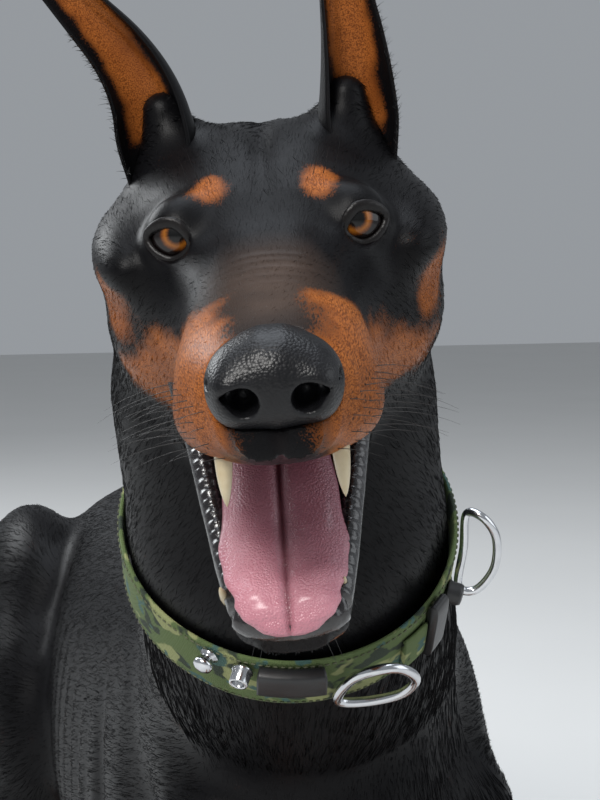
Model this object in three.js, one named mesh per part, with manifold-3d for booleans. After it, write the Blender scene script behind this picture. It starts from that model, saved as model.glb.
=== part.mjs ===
import * as THREE from "three";
import { mergeVertices } from "three/addons/utils/BufferGeometryUtils.js";
import Module from "manifold-3d";

const wasm = await Module();
wasm.setup();

// Millimetres. The dog lies along Y with its head to -Y, +X is its left side and z = 0 the floor.
const partingGap = 0.3;
const floorTrim = 1.2;
const headAnchor = [-98, -140, 555];
const headYaw = 16.4;
const headPitch = 14.5;
const headRoll = 5.2;
const eyeMiddle = [0, 140, 2];
const eyeOffset = 34.5;
const eyeRadius = 12.5;
const lidThickness = 2.6;
const eyeOpening = [26, 18.5];
const earLength = 138;
const earWall = 3;
const earHalfWidth = 18.5;
const earRoot = [41, 196, 8];
const earBend = [0.22, 0.5];
const jawJoint = [-3, 195, -45];
const jawOpening = 29.5;
const collarCentre = [-49, -12, 397];
const collarTilt = 44;
const bandWidth = 40;
const bandThickness = 3.2;

// Rows: y, half width, top, widest level, bottom.
const torsoRows = [
  [-14, 18, 250, 232, 212],
  [2, 38, 282, 230, 172],
  [30, 58, 322, 226, 112],
  [70, 76, 360, 222, 64],
  [110, 92, 384, 216, 44],
  [150, 106, 396, 208, 37],
  [220, 110, 388, 200, 35],
  [300, 114, 376, 198, 38],
  [380, 110, 368, 202, 50],
  [450, 98, 361, 212, 74],
  [520, 88, 352, 218, 96],
  [600, 80, 328, 216, 108],
  [660, 70, 294, 208, 122],
  [700, 50, 258, 200, 148],
  [722, 22, 226, 195, 168],
];
const headRows = [
  [2, 15, -8, -24, -38],
  [8, 21, -3, -26, -44],
  [20, 28, -1, -30, -50],
  [40, 35, 0, -34, -55],
  [60, 37, 0, -36, -57],
  [85, 36, 1, -34, -57],
  [110, 38, 3, -32, -60],
  [128, 44, 8, -32, -64],
  [145, 55, 17, -34, -74],
  [165, 67, 25, -38, -88],
  [190, 73, 30, -40, -97],
  [218, 69, 30, -36, -94],
  [242, 57, 24, -28, -76],
  [264, 38, 13, -20, -52],
  [280, 14, 0, -14, -28],
];
const jawRows = [
  [0, 13, -4, -13, -21],
  [8, 22, 0, -14, -27],
  [30, 27, 1, -15, -30],
  [60, 32, 1, -16, -32],
  [95, 38, 3, -18, -37],
  [130, 45, 5, -20, -46],
  [158, 46, 8, -18, -48],
  [176, 28, 0, -16, -34],
];
// y, z, half width and half thickness in the frame of the head.
const tongueRows = [
  [170, -52, 16, 6],
  [140, -66, 19, 7],
  [105, -86, 22, 7],
  [78, -101, 23.5, 6.2],
  [60, -111, 24, 5.4],
  [50, -117, 23, 4.8],
  [46, -123, 19, 4.4],
  [45, -128, 12, 3.6],
];
const tongueShift = -3.5;

const sides = { left: 1, right: -1 };

function cubic(a, b, c, d, t) {
  const slopeB = (c - a) / 2;
  const slopeC = (d - b) / 2;
  const t2 = t * t;
  const t3 = t2 * t;
  return b * (2 * t3 - 3 * t2 + 1) + slopeB * (t3 - 2 * t2 + t) + c * (3 * t2 - 2 * t3) + slopeC * (t3 - t2);
}

// A row of the table at y, smooth between the rows.
function rowAt(table, y) {
  const last = table.length - 1;
  let low = 0;
  while (low < last - 1 && table[low + 1][0] < y) low += 1;
  const t = THREE.MathUtils.clamp((y - table[low][0]) / (table[low + 1][0] - table[low][0]), 0, 1);
  const before = table[Math.max(low - 1, 0)];
  const after = table[Math.min(low + 2, last)];
  return table[low].map((value, k) => cubic(before[k], value, table[low + 1][k], after[k], t));
}

// Distance fields: below zero inside.
function sectionField(table, power = 2.3) {
  const first = table[0][0];
  const last = table[table.length - 1][0];
  return ([x, y, z]) => {
    const row = rowAt(table, THREE.MathUtils.clamp(y, first, last));
    const rise = z > row[3] ? row[2] - row[3] : row[3] - row[4];
    const q = ((Math.abs(x) / row[1]) ** power + (Math.abs(z - row[3]) / rise) ** power) ** (1 / power);
    const side = q < 1e-4 ? -Math.min(row[1], rise) : Math.hypot(x, z - row[3]) * (1 - 1 / q);
    return Math.max(side, first - y, y - last);
  };
}

function ball(centre, radii) {
  return (p) => {
    const q = Math.hypot(...p.map((value, k) => (value - centre[k]) / radii[k]));
    const steep = Math.hypot(...p.map((value, k) => (value - centre[k]) / radii[k] ** 2));
    return steep < 1e-9 ? -Math.min(...radii) : (q * (q - 1)) / steep;
  };
}

function cone(start, end, startRadius, endRadius, flat = [1, 1, 1]) {
  const along = end.map((value, k) => value - start[k]);
  const length2 = along.reduce((sum, value) => sum + value * value, 0);
  return (p) => {
    const t = along.reduce((sum, value, k) => sum + value * (p[k] - start[k]), 0) / length2;
    const s = THREE.MathUtils.clamp(t, 0, 1);
    const off = Math.hypot(...p.map((value, k) => (value - start[k] - s * along[k]) / flat[k]));
    return (off - THREE.MathUtils.lerp(startRadius, endRadius, s)) * Math.min(...flat);
  };
}

function blend(reach, ...masses) {
  return (p) => masses.slice(1).reduce((near, mass) => {
    const other = mass(p);
    const mix = Math.max(reach - Math.abs(near - other), 0) / reach;
    return Math.min(near, other) - (mix * mix * reach) / 4;
  }, masses[0](p));
}

const mirrored = (point, side) => [point[0] * side, point[1], point[2]];

// How far from a point inside the field its surface is, along a direction.
function reachOut(field, from, direction) {
  const at = (distance) => [
    from.x + direction.x * distance,
    from.y + direction.y * distance,
    from.z + direction.z * distance,
  ];
  const stride = 3;
  let outside = stride;
  while (outside < 400 && field(at(outside)) < 0) outside += stride;
  let inside = outside - stride;
  for (let k = 0; k < 12; k += 1) {
    const middle = (inside + outside) / 2;
    if (field(at(middle)) < 0) inside = middle;
    else outside = middle;
  }
  return inside;
}

// A closed surface between rings of points and two end points.
function closedRings(rings, startPoint, endPoint) {
  const around = rings[0].length;
  const points = [startPoint, ...rings.flat(), endPoint];
  const faces = [];
  const spot = (ring, k) => 1 + ring * around + (k % around);
  for (let k = 0; k < around; k += 1) {
    faces.push(0, spot(0, k + 1), spot(0, k));
    for (let ring = 0; ring < rings.length - 1; ring += 1) {
      faces.push(spot(ring, k), spot(ring, k + 1), spot(ring + 1, k + 1));
      faces.push(spot(ring, k), spot(ring + 1, k + 1), spot(ring + 1, k));
    }
    faces.push(points.length - 1, spot(rings.length - 1, k), spot(rings.length - 1, k + 1));
  }
  const geometry = new THREE.BufferGeometry().setFromPoints(points);
  geometry.setIndex(faces);
  return geometry;
}

// The field's surface as seen from a spine inside it, with rounded ends.
function skin(field, spinePoints, ringCount, around, grow = 0, fans = [28, 58]) {
  const spine = new THREE.CatmullRomCurve3(spinePoints.map((point) => new THREE.Vector3(...point)));
  const rings = [];
  const frameAt = (t) => {
    const ahead = spine.getTangentAt(t);
    const lateral = new THREE.Vector3(1, 0, 0).addScaledVector(ahead, -ahead.x).normalize();
    const up = new THREE.Vector3().crossVectors(lateral, ahead);
    return { centre: spine.getPointAt(t), ahead, lateral, up };
  };
  const cast = (centre, direction) => {
    const distance = reachOut(field, centre, direction) + grow;
    return centre.clone().addScaledVector(direction, distance);
  };
  const ring = (t, tilt) => {
    const frame = frameAt(t);
    return Array.from({ length: around }, (_, k) => {
      const angle = (2 * Math.PI * k) / around;
      const direction = frame.lateral.clone().multiplyScalar(Math.cos(angle) * Math.cos(tilt));
      direction.addScaledVector(frame.up, Math.sin(angle) * Math.cos(tilt));
      direction.addScaledVector(frame.ahead, Math.sin(tilt));
      return cast(frame.centre, direction);
    });
  };
  for (const fan of fans) rings.push(ring(0, THREE.MathUtils.degToRad(fan - 90)));
  for (let k = 0; k < ringCount; k += 1) rings.push(ring(k / (ringCount - 1), 0));
  for (const fan of fans.toReversed()) rings.push(ring(1, THREE.MathUtils.degToRad(90 - fan)));
  const start = frameAt(0);
  const end = frameAt(1);
  return closedRings(rings, cast(start.centre, start.ahead.clone().negate()), cast(end.centre, end.ahead));
}

function solidOf(geometry, matrix = new THREE.Matrix4()) {
  const bare = new THREE.BufferGeometry();
  bare.setAttribute("position", geometry.getAttribute("position").clone());
  if (geometry.index) bare.setIndex(geometry.index.clone());
  bare.applyMatrix4(matrix);
  const merged = mergeVertices(bare, 1e-4);
  const build = (triVerts) => new wasm.Manifold(new wasm.Mesh({
    numProp: 3,
    vertProperties: new Float32Array(merged.getAttribute("position").array),
    triVerts: new Uint32Array(triVerts),
  }));
  const solid = build(merged.index.array);
  return solid.volume() > 0 ? solid : build(Array.from(merged.index.array).reverse());
}

function moved(solid, matrix) {
  return solidOf(geometryOf(solid), matrix);
}

function geometryOf(solid) {
  const mesh = solid.getMesh();
  const geometry = new THREE.BufferGeometry();
  geometry.setAttribute("position", new THREE.BufferAttribute(new Float32Array(mesh.vertProperties), 3));
  geometry.setIndex(new THREE.BufferAttribute(new Uint32Array(mesh.triVerts), 1));
  return geometry;
}

function joined(...solids) {
  return solids.reduce((whole, solid) => whole.add(solid));
}

function without(solid, ...cutters) {
  return cutters.reduce((rest, cutter) => rest.subtract(cutter), solid);
}

const model = new THREE.Group();
model.name = "doberman_pinscher";

function addNode(name, solid, colour, roughness = 0.7, metalness = 0) {
  const material = new THREE.MeshStandardMaterial({ color: colour, roughness, metalness });
  const mesh = new THREE.Mesh(geometryOf(solid), material);
  mesh.name = name;
  model.add(mesh);
}

// What lies under the floor and what would only graze it is taken off.
const underFloor = solidOf(
  new THREE.BoxGeometry(1200, 2400, 200),
  new THREE.Matrix4().makeTranslation(0, 0, -100),
);

// The head's own frame: x to its left, y back from the nose, z up from the line of the muzzle.
const headTurn = new THREE.Matrix4()
  .makeRotationZ(THREE.MathUtils.degToRad(-headYaw))
  .multiply(new THREE.Matrix4().makeRotationX(THREE.MathUtils.degToRad(headPitch)))
  .multiply(new THREE.Matrix4().makeRotationY(THREE.MathUtils.degToRad(-headRoll)));
const headPose = new THREE.Matrix4()
  .makeTranslation(...headAnchor)
  .multiply(headTurn)
  .multiply(new THREE.Matrix4().makeTranslation(-eyeMiddle[0], -eyeMiddle[1], -eyeMiddle[2]));

// Torso, with the shoulder blades and the ribs' spring.
const torsoField = blend(
  26,
  sectionField(torsoRows),
  cone([50, 138, 350], [64, 56, 236], 26, 36),
  cone([-50, 138, 350], [-64, 56, 236], 26, 36),
);
const torsoSpine = torsoRows.slice(1, -1).map((row) => [0, row[0] + (row[0] < 10 ? 12 : 0), row[3]]);
const torsoMesh = (grow) => solidOf(skin(torsoField, torsoSpine, 14, 18, grow));

// Neck.
const neckPoints = [[0, 100, 290], [-28, 40, 354], [-52, -16, 416], [-64, -34, 484], [-69, -42, 540]];
const neckRadii = [90, 78, 70, 68, 60];
const neckField = blend(
  30,
  ...neckPoints.slice(1).map((point, k) => cone(neckPoints[k], point, neckRadii[k], neckRadii[k + 1])),
);
const neckMesh = (grow) => solidOf(skin(neckField, neckPoints, 9, 20, grow));

// Head: skull and upper jaw, with lids over the eyes.
const headField = blend(
  9,
  sectionField(headRows, 2.4),
  ball([58, 178, -12], [16, 40, 16]),
  ball([-58, 178, -12], [16, 40, 16]),
);
const headSpine = [[0, 14, -26], [0, 60, -30], [0, 120, -30], [0, 190, -34], [0, 240, -26], [0, 262, -19]];
const headMesh = (grow) => solidOf(skin(headField, headSpine, 19, 26, grow));

const eyeCentre = (side) => [eyeOffset * side, eyeMiddle[1] + 6, eyeMiddle[2] - 1];
const sphereAt = (centre, radius, across = 14, high = 10) => solidOf(
  new THREE.SphereGeometry(radius, across, high),
  new THREE.Matrix4().makeTranslation(...centre),
);

// The opening between the lids: an almond pushed forward from the eye.
function lidCutter(side) {
  const [wide, high] = eyeOpening;
  const outline = Array.from({ length: 16 }, (_, k) => {
    const angle = (2 * Math.PI * k) / 16;
    const across = Math.cos(angle);
    const rise = Math.sin(angle) * (1 - 0.35 * across * across);
    return [(across * wide) / 2, (rise * high) / 2];
  });
  const rings = [0, -24].map((depth) => outline.map(([u, v]) => {
    const open = depth < 0 ? 1.12 : 0.94;
    return new THREE.Vector3(u * open, depth, v * open);
  }));
  const cutter = closedRings(rings, new THREE.Vector3(0, 0, 0), new THREE.Vector3(0, -24, 0));
  const turn = new THREE.Matrix4()
    .makeTranslation(...eyeCentre(side))
    .multiply(new THREE.Matrix4().makeRotationZ(THREE.MathUtils.degToRad(side * 17)))
    .multiply(new THREE.Matrix4().makeRotationY(THREE.MathUtils.degToRad(side * -10)));
  return solidOf(cutter, turn);
}

// Lower jaw, swung open about its joint.
const jawPose = new THREE.Matrix4()
  .makeTranslation(jawJoint[0], jawJoint[1], jawJoint[2])
  .multiply(new THREE.Matrix4().makeRotationX(THREE.MathUtils.degToRad(jawOpening)))
  .multiply(new THREE.Matrix4().makeTranslation(0, -168, 4));
const jawField = sectionField(jawRows, 2.4);
const jawSpine = [[0, 10, -14], [0, 60, -16], [0, 120, -18], [0, 164, -18]];
const jawMesh = (grow) => solidOf(skin(jawField, jawSpine, 12, 20, grow), jawPose);
const jawGutter = solidOf(
  skin(cone([0, 14, 2], [0, 150, 2], 15, 26, [1, 1, 0.62]), [[0, 14, 2], [0, 80, 2], [0, 150, 2]], 5, 12),
  jawPose,
);

// The hollow of the mouth under the palate.
const palateHollow = solidOf(skin(
  blend(
    10,
    cone([0, 44, -56], [0, 118, -60], 19, 24, [1, 1, 0.8]),
    cone([0, 118, -58], [0, 178, -66], 24, 18),
  ),
  [[0, 44, -56], [0, 80, -58], [0, 118, -60], [0, 178, -66]],
  6,
  14,
));

// A tooth: a bent cone with its root sunk in the gum.
function tooth(root, tip, radius, matrix = new THREE.Matrix4()) {
  const start = new THREE.Vector3(...root);
  const end = new THREE.Vector3(...tip);
  const middle = start.clone().lerp(end, 0.5).add(new THREE.Vector3(0, -radius * 0.35, 0));
  const curve = new THREE.CatmullRomCurve3([start, middle, end]);
  const profile = [1, 0.86, 0.4];
  const rings = profile.map((size, k) => {
    const centre = curve.getPointAt(k / 2);
    return Array.from({ length: 7 }, (_, m) => {
      const angle = (2 * Math.PI * m) / 7;
      const off = new THREE.Vector3(Math.cos(angle) * 0.8, Math.sin(angle), 0).multiplyScalar(radius * size);
      return centre.clone().add(off);
    });
  });
  const cap = end.clone().lerp(middle, -0.06);
  return solidOf(closedRings(rings, start, cap), matrix);
}

// Only the canines show: the lips and the tongue hide the other teeth.
function upperTeeth() {
  return [1, -1].map((side) => tooth([21 * side, 26, -42], [23 * side, 22, -68], 4.4));
}

function lowerTeeth() {
  return [1, -1].map((side) => tooth([18 * side, 17, -10], [21 * side, 13, 12], 3.8, jawPose));
}

// Tongue: flat sections along its run over the lower jaw and down in front of it.
function tongueMesh(grow) {
  const curveOf = (first) => new THREE.CatmullRomCurve3(
    tongueRows.map((row) => new THREE.Vector3(first(row), row[0], row[1])),
  );
  const path = curveOf(() => tongueShift);
  const sizes = curveOf((row) => row[2]);
  const thick = curveOf((row) => row[3]);
  const steps = 12;
  const rings = Array.from({ length: steps }, (_, k) => {
    const t = k / (steps - 1);
    const centre = path.getPoint(t);
    const ahead = path.getTangent(t);
    const up = new THREE.Vector3(0, -ahead.z, ahead.y).multiplyScalar(ahead.y < 0 ? -1 : 1);
    const half = sizes.getPoint(t).x + grow;
    const rise = thick.getPoint(t).x + grow;
    return Array.from({ length: 16 }, (_, m) => {
      const angle = (2 * Math.PI * m) / 16;
      const across = Math.cos(angle);
      const groove = Math.sin(angle) > 0 ? 1 - 0.42 * Math.exp(-((across / 0.22) ** 2)) : 1;
      const lift = Math.sin(angle) * rise * groove;
      return centre.clone().add(new THREE.Vector3(across * half, 0, 0)).addScaledVector(up, lift);
    });
  });
  const first = path.getPoint(0).addScaledVector(path.getTangent(0), -5 - grow);
  const last = path.getPoint(1).addScaledVector(path.getTangent(1), 4 + grow);
  return solidOf(closedRings(rings, first, last));
}

// Nose leather with its two comma nostrils.
const noseField = blend(
  7,
  ball([0, 11, -15], [18, 17, 17]),
  ball([13, 8, -17], [9, 12, 12]),
  ball([-13, 8, -17], [9, 12, 12]),
);
const noseMesh = (grow) => solidOf(skin(noseField, [[0, 6, -16], [0, 12, -16], [0, 18, -16]], 4, 20, grow));
function nostril(side) {
  const hollow = skin(
    blend(
      3,
      ball([10 * side, -5, -18], [4.8, 12, 5]),
      cone([13 * side, -4, -16], [20 * side, 4, -13], 2.6, 1.6),
    ),
    [[10 * side, -8, -18], [10 * side, 3, -18]],
    3,
    12,
  );
  return solidOf(hollow);
}

const earPoses = {
  left: { leanOut: 3, leanBack: 6, turn: 22, slope: -0.14 },
  right: { leanOut: 7, leanBack: 4, turn: 18, slope: 0.62 },
};

// A cropped ear: crescent sections that narrow and flatten toward the tip.
// It leans out at its root and bends out by a further slope above it.
function earMesh(side, { leanOut, leanBack, turn, slope }) {
  const steps = 12;
  const arcSteps = 8;
  // The bend grows between its two ends and then stays.
  const [bendStart, bendEnd] = earBend;
  const bendSpan = bendEnd - bendStart;
  const bent = (t) => THREE.MathUtils.clamp(t - bendStart, 0, bendSpan);
  const slopeAt = (t) => (slope * bent(t)) / bendSpan;
  const bendAt = (t) => (slope * bent(t) ** 2) / (2 * bendSpan) + slope * Math.max(t - bendEnd, 0);
  const earPose = (t) => new THREE.Matrix4()
    .makeTranslation(earRoot[0] * side, earRoot[1], earRoot[2])
    .multiply(new THREE.Matrix4().makeRotationY(THREE.MathUtils.degToRad(leanOut * side)))
    .multiply(new THREE.Matrix4().makeRotationX(THREE.MathUtils.degToRad(-leanBack)))
    .multiply(new THREE.Matrix4().makeTranslation(bendAt(t) * earLength * side, 0, t * earLength))
    .multiply(new THREE.Matrix4().makeRotationY(Math.atan(slopeAt(t)) * side))
    .multiply(new THREE.Matrix4().makeRotationZ(THREE.MathUtils.degToRad(turn * side)));
  const rings = Array.from({ length: steps }, (_, k) => {
    const t = k / (steps - 1);
    const rootPinch = 0.8 + 0.2 * THREE.MathUtils.smoothstep(t, 0, 0.2);
    const width = earHalfWidth * rootPinch * (1 - t) ** 0.72 + 1.2;
    const sweep = THREE.MathUtils.degToRad(THREE.MathUtils.lerp(118, 62, t));
    const radius = width / Math.sin(Math.min(sweep, Math.PI / 2));
    const wall = earWall * (1 - 0.55 * t);
    const outer = [];
    const inner = [];
    for (let m = 0; m <= arcSteps; m += 1) {
      const angle = THREE.MathUtils.lerp(-sweep, sweep, m / arcSteps);
      const edge = 1 - 0.55 * (Math.abs(m / arcSteps - 0.5) * 2) ** 6;
      const inset = radius - wall * edge;
      outer.push(new THREE.Vector3(Math.sin(angle) * radius, Math.cos(angle) * radius, 0));
      inner.push(new THREE.Vector3(Math.sin(angle) * inset, Math.cos(angle) * inset, 0));
    }
    const pose = earPose(t);
    return [...outer, ...inner.toReversed()].map((point) => point.applyMatrix4(pose));
  });
  const middleOf = (ring) => ring[4].clone().lerp(ring[ring.length - 5], 0.5);
  const last = middleOf(rings[steps - 1]).add(new THREE.Vector3(0, 0, 3));
  return solidOf(closedRings(rings, middleOf(rings[0]), last));
}

const headBlank = headMesh(0);
const headGrown = headMesh(partingGap);
const noseGrown = noseMesh(partingGap);
const tongueGrown = tongueMesh(partingGap);
const lidBalls = [1, -1].map((side) => sphereAt(eyeCentre(side), eyeRadius + lidThickness, 16, 12));
const sockets = [1, -1].map((side) => sphereAt(eyeCentre(side), eyeRadius + partingGap, 14, 10));
const headUncut = joined(headBlank, ...lidBalls);
const jawWhole = joined(without(jawMesh(0), jawGutter), ...lowerTeeth());
const head = without(
  joined(without(headUncut, palateHollow), ...upperTeeth()),
  noseGrown,
  ...sockets,
  lidCutter(1),
  lidCutter(-1),
  tongueGrown,
);
addHeadNode("head", head, 0x1c1a19, 0.6);
addHeadNode("lower_jaw", without(jawWhole, joined(headGrown, ...lidBalls), tongueGrown), 0x1d1a19, 0.6);
addHeadNode("tongue", tongueMesh(0), 0xc76f74, 0.4);
addHeadNode("nose", without(noseMesh(0), nostril(1), nostril(-1)), 0x1a1c20, 0.45);
for (const [name, side] of Object.entries(sides)) {
  addHeadNode(`eye_${name}`, sphereAt(eyeCentre(side), eyeRadius), 0x7a4a1e, 0.1);
  const ear = earMesh(side, earPoses[name]);
  addHeadNode(`ear_${name}`, largest(without(ear, headGrown)), 0x2a2220, 0.7);
}

function addHeadNode(name, solid, colour, roughness) {
  addNode(name, moved(largest(solid), headPose), colour, roughness);
}

function largest(solid) {
  return solid.decompose().sort((a, b) => b.volume() - a.volume())[0];
}

// Neck and torso.
const headInWorld = moved(headGrown, headPose);
const jawInWorld = moved(joined(jawMesh(partingGap), jawGutter), headPose);
const tongueInWorld = moved(tongueGrown, headPose);
const torsoGrown = torsoMesh(partingGap);
const neck = without(neckMesh(0), headInWorld, jawInWorld, tongueInWorld, torsoGrown);
addNode("neck", largest(neck), 0x1a1818, 0.6);

// Limbs, each for both sides.
const limb = {
  upper_arm: {
    field: blend(14, cone([66, 40, 214], [92, 168, 74], 38, 29, [0.9, 1, 1])),
    spine: [[67, 46, 208], [80, 104, 145], [91, 162, 80]],
    counts: [6, 12],
  },
  forearm: {
    field: blend(
      10,
      cone([97, 176, 37], [93, 60, 33], 36, 29, [0.86, 1, 1]),
      cone([93, 60, 33], [90, -46, 24], 29, 23),
    ),
    spine: [[97, 170, 37], [93, 60, 33], [90, -42, 24]],
    counts: [7, 12],
  },
  thigh: {
    field: blend(40, ball([96, 548, 212], [57, 122, 120]), ball([112, 462, 172], [44, 66, 76])),
    spine: [[104, 450, 172], [98, 530, 208], [94, 620, 205]],
    counts: [8, 16],
  },
  shank: {
    field: blend(
      12,
      cone([118, 462, 118], [130, 560, 84], 44, 34, [0.8, 1, 1]),
      cone([130, 560, 84], [134, 648, 38], 34, 19),
    ),
    spine: [[119, 470, 116], [130, 560, 84], [133, 640, 42]],
    counts: [6, 12],
  },
};

function limbMesh(part, side, grow) {
  const mirror = new THREE.Matrix4().makeScale(side, 1, 1);
  return solidOf(skin(part.field, part.spine, part.counts[0], part.counts[1], grow), mirror);
}

// A paw in its own frame: y = 0 at the joint above it and toes toward -y.
function pawParts(length, grow) {
  const knuckle = -length * 0.62;
  const pad = skin(
    blend(
      10,
      cone([0, 0, 22], [0, knuckle, 24], 21, 19, [1, 1, 0.95]),
      ball([0, knuckle - 6, 15], [25, 24, 14]),
    ),
    [[0, 0, 22], [0, knuckle * 0.5, 22], [0, knuckle - 8, 18]],
    4,
    10,
    grow,
    [40],
  );
  const toes = [-1.5, -0.5, 0.5, 1.5].map((place) => {
    const inner = Math.abs(place) < 1;
    const reach = -length + (inner ? 10 : 22);
    const x = place * 14;
    return skin(
      blend(
        6,
        cone([x * 0.75, knuckle + 6, 22], [x, reach + 22, 24], 10, 10.5),
        cone([x, reach + 22, 24], [x * 1.02, reach, 12], 10.5, 9.6),
      ),
      [[x * 0.78, knuckle + 4, 22], [x, reach + 20, 21], [x * 1.02, reach + 2, 13]],
      3,
      7,
      grow,
      [45],
    );
  });
  return [pad, ...toes];
}

function claws(length) {
  return [-1.5, -0.5, 0.5, 1.5].map((place) => {
    const reach = -length + (Math.abs(place) < 1 ? 10 : 22);
    const x = place * 14.3;
    return skin(
      cone([x, reach - 4, 15], [x, reach - 17, 5.5], 3.6, 1.3),
      [[x, reach - 5, 14], [x, reach - 16, 6.4]],
      2,
      5,
      0,
      [45],
    );
  });
}

function pawSolid(side, place, length, turn, grow, withClaws) {
  const pose = new THREE.Matrix4()
    .makeTranslation(...mirrored(place, side))
    .multiply(new THREE.Matrix4().makeRotationZ(THREE.MathUtils.degToRad(turn * side)));
  const shapes = withClaws ? [...pawParts(length, grow), ...claws(length)] : pawParts(length, grow);
  return joined(...shapes.map((shape) => solidOf(shape, pose)));
}

const paws = {
  fore_paw: { place: [90, -46, -floorTrim], length: 128, turn: 2 },
  hind_paw: { place: [134, 642, -floorTrim], length: 205, turn: 4 },
};

let torso = torsoMesh(0);
for (const [name, side] of Object.entries(sides)) {
  const solid = (key) => limbMesh(limb[key], side, 0);
  const grown = (key) => limbMesh(limb[key], side, partingGap);
  const paw = (key, grow, full) => {
    const { place, length, turn } = paws[key];
    return pawSolid(side, place, length, turn, grow, full);
  };
  const onFloor = (part) => largest(without(part, underFloor));
  addNode(`upper_arm_${name}`, largest(without(solid("upper_arm"), grown("forearm"))), 0x1a1818, 0.6);
  const forearm = without(solid("forearm"), paw("fore_paw", partingGap, false));
  addNode(`forearm_${name}`, onFloor(forearm), 0x241c19, 0.6);
  addNode(`fore_paw_${name}`, onFloor(paw("fore_paw", 0, true)), 0x7a4526, 0.7);
  addNode(`thigh_${name}`, largest(solid("thigh")), 0x1a1818, 0.6);
  const shank = without(solid("shank"), grown("thigh"), solid("thigh"), paw("hind_paw", partingGap, false));
  addNode(`shank_${name}`, onFloor(shank), 0x241c19, 0.6);
  addNode(`hind_paw_${name}`, onFloor(without(paw("hind_paw", 0, true), grown("thigh"))), 0x7a4526, 0.7);
  torso = without(torso, grown("upper_arm"), grown("forearm"), grown("thigh"), grown("shank"));
}

// The docked tail.
const tailField = cone([0, 694, 252], [0, 746, 262], 19, 12);
const tailSpine = [[0, 700, 254], [0, 722, 258], [0, 744, 262]];
const tailMesh = (grow) => solidOf(skin(tailField, tailSpine, 6, 14, grow));
torso = without(torso, tailMesh(partingGap));
addNode("torso", largest(torso), 0x1a1818, 0.6);
addNode("tail", tailMesh(0), 0x1a1818, 0.6);

// Collar frame: its axis runs up the neck, its front points to the throat and its side to the dog's left.
const collarTurn = new THREE.Matrix4().makeRotationZ(THREE.MathUtils.degToRad(-headYaw));
const collarRise = THREE.MathUtils.degToRad(collarTilt);
const collarAxis = new THREE.Vector3(0, -Math.cos(collarRise), Math.sin(collarRise));
const collarSide = new THREE.Vector3(1, 0, 0).applyMatrix4(collarTurn);
collarAxis.applyMatrix4(collarTurn);
const collarFront = new THREE.Vector3().crossVectors(collarSide, collarAxis);
const collarMiddle = new THREE.Vector3(...collarCentre);

function bandRadius(angle, height) {
  const direction = collarFront.clone().multiplyScalar(Math.cos(angle));
  direction.addScaledVector(collarSide, Math.sin(angle));
  return reachOut(neckField, collarMiddle.clone().addScaledVector(collarAxis, height), direction);
}

// A point on the collar: angle from the throat toward the dog's left, height up the neck, lift off the neck.
function onCollar(degrees, height, lift) {
  const angle = THREE.MathUtils.degToRad(degrees);
  const reach = Math.max(bandRadius(angle, -14), bandRadius(angle, 14), bandRadius(angle, 0)) + lift;
  return collarMiddle.clone()
    .addScaledVector(collarAxis, height)
    .addScaledVector(collarFront, Math.cos(angle) * reach)
    .addScaledVector(collarSide, Math.sin(angle) * reach);
}

function collarRing(inner, outer, halfWidth, degreesFrom, degreesTo, height = 0, count = 48) {
  const full = degreesTo - degreesFrom >= 360;
  const sections = Array.from({ length: full ? count : count + 1 }, (_, k) => {
    const degrees = degreesFrom + ((degreesTo - degreesFrom) * k) / count;
    return [
      onCollar(degrees, height - halfWidth, inner),
      onCollar(degrees, height - halfWidth, outer),
      onCollar(degrees, height + halfWidth, outer),
      onCollar(degrees, height + halfWidth, inner),
    ];
  });
  const faces = [];
  const spot = (k, m) => (k % sections.length) * 4 + (m % 4);
  const last = full ? sections.length : sections.length - 1;
  for (let k = 0; k < last; k += 1) {
    for (let m = 0; m < 4; m += 1) {
      faces.push(spot(k, m), spot(k + 1, m), spot(k + 1, m + 1));
      faces.push(spot(k, m), spot(k + 1, m + 1), spot(k, m + 1));
    }
  }
  if (!full) {
    faces.push(spot(0, 0), spot(0, 1), spot(0, 2), spot(0, 0), spot(0, 2), spot(0, 3));
    faces.push(spot(last, 0), spot(last, 2), spot(last, 1), spot(last, 0), spot(last, 3), spot(last, 2));
  }
  const geometry = new THREE.BufferGeometry().setFromPoints(sections.flat());
  geometry.setIndex(faces);
  return solidOf(geometry);
}

function rod(points, radius, around = 8, closed = false, steps = points.length * 4) {
  const curve = new THREE.CatmullRomCurve3(points, closed);
  const tube = new THREE.TubeGeometry(curve, steps, radius, around, closed);
  if (closed) return solidOf(tube);
  const rings = [];
  const place = tube.getAttribute("position");
  for (let k = 0; k <= steps; k += 1) {
    rings.push(Array.from({ length: around }, (_, m) => {
      const spot = k * (around + 1) + m;
      return new THREE.Vector3(place.getX(spot), place.getY(spot), place.getZ(spot));
    }));
  }
  return solidOf(closedRings(rings, curve.getPoint(0), curve.getPoint(1)));
}

const innerLift = 0.5;
const outerLift = innerLift + bandThickness;
const faceLift = outerLift + partingGap;
const bandBed = joined(neckMesh(partingGap), torsoGrown);
const bandRing = collarRing(innerLift, outerLift, bandWidth / 2, 0, 360);
addNode("collar_band", without(bandRing, bandBed), 0x6f7a45, 0.85);
addNode("collar_handle", collarRing(faceLift, faceLift + 8, 9, -11, 12, 10, 6), 0x141414, 0.5);
addNode("collar_keeper", collarRing(faceLift, faceLift + 6, 22, 56, 63, 0, 3), 0x1d1d1b, 0.5);
addNode("collar_strap_tail", collarRing(faceLift, faceLift + 2.6, 14, 44, 55, -4, 4), 0x6c7a4c, 0.85);

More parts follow.
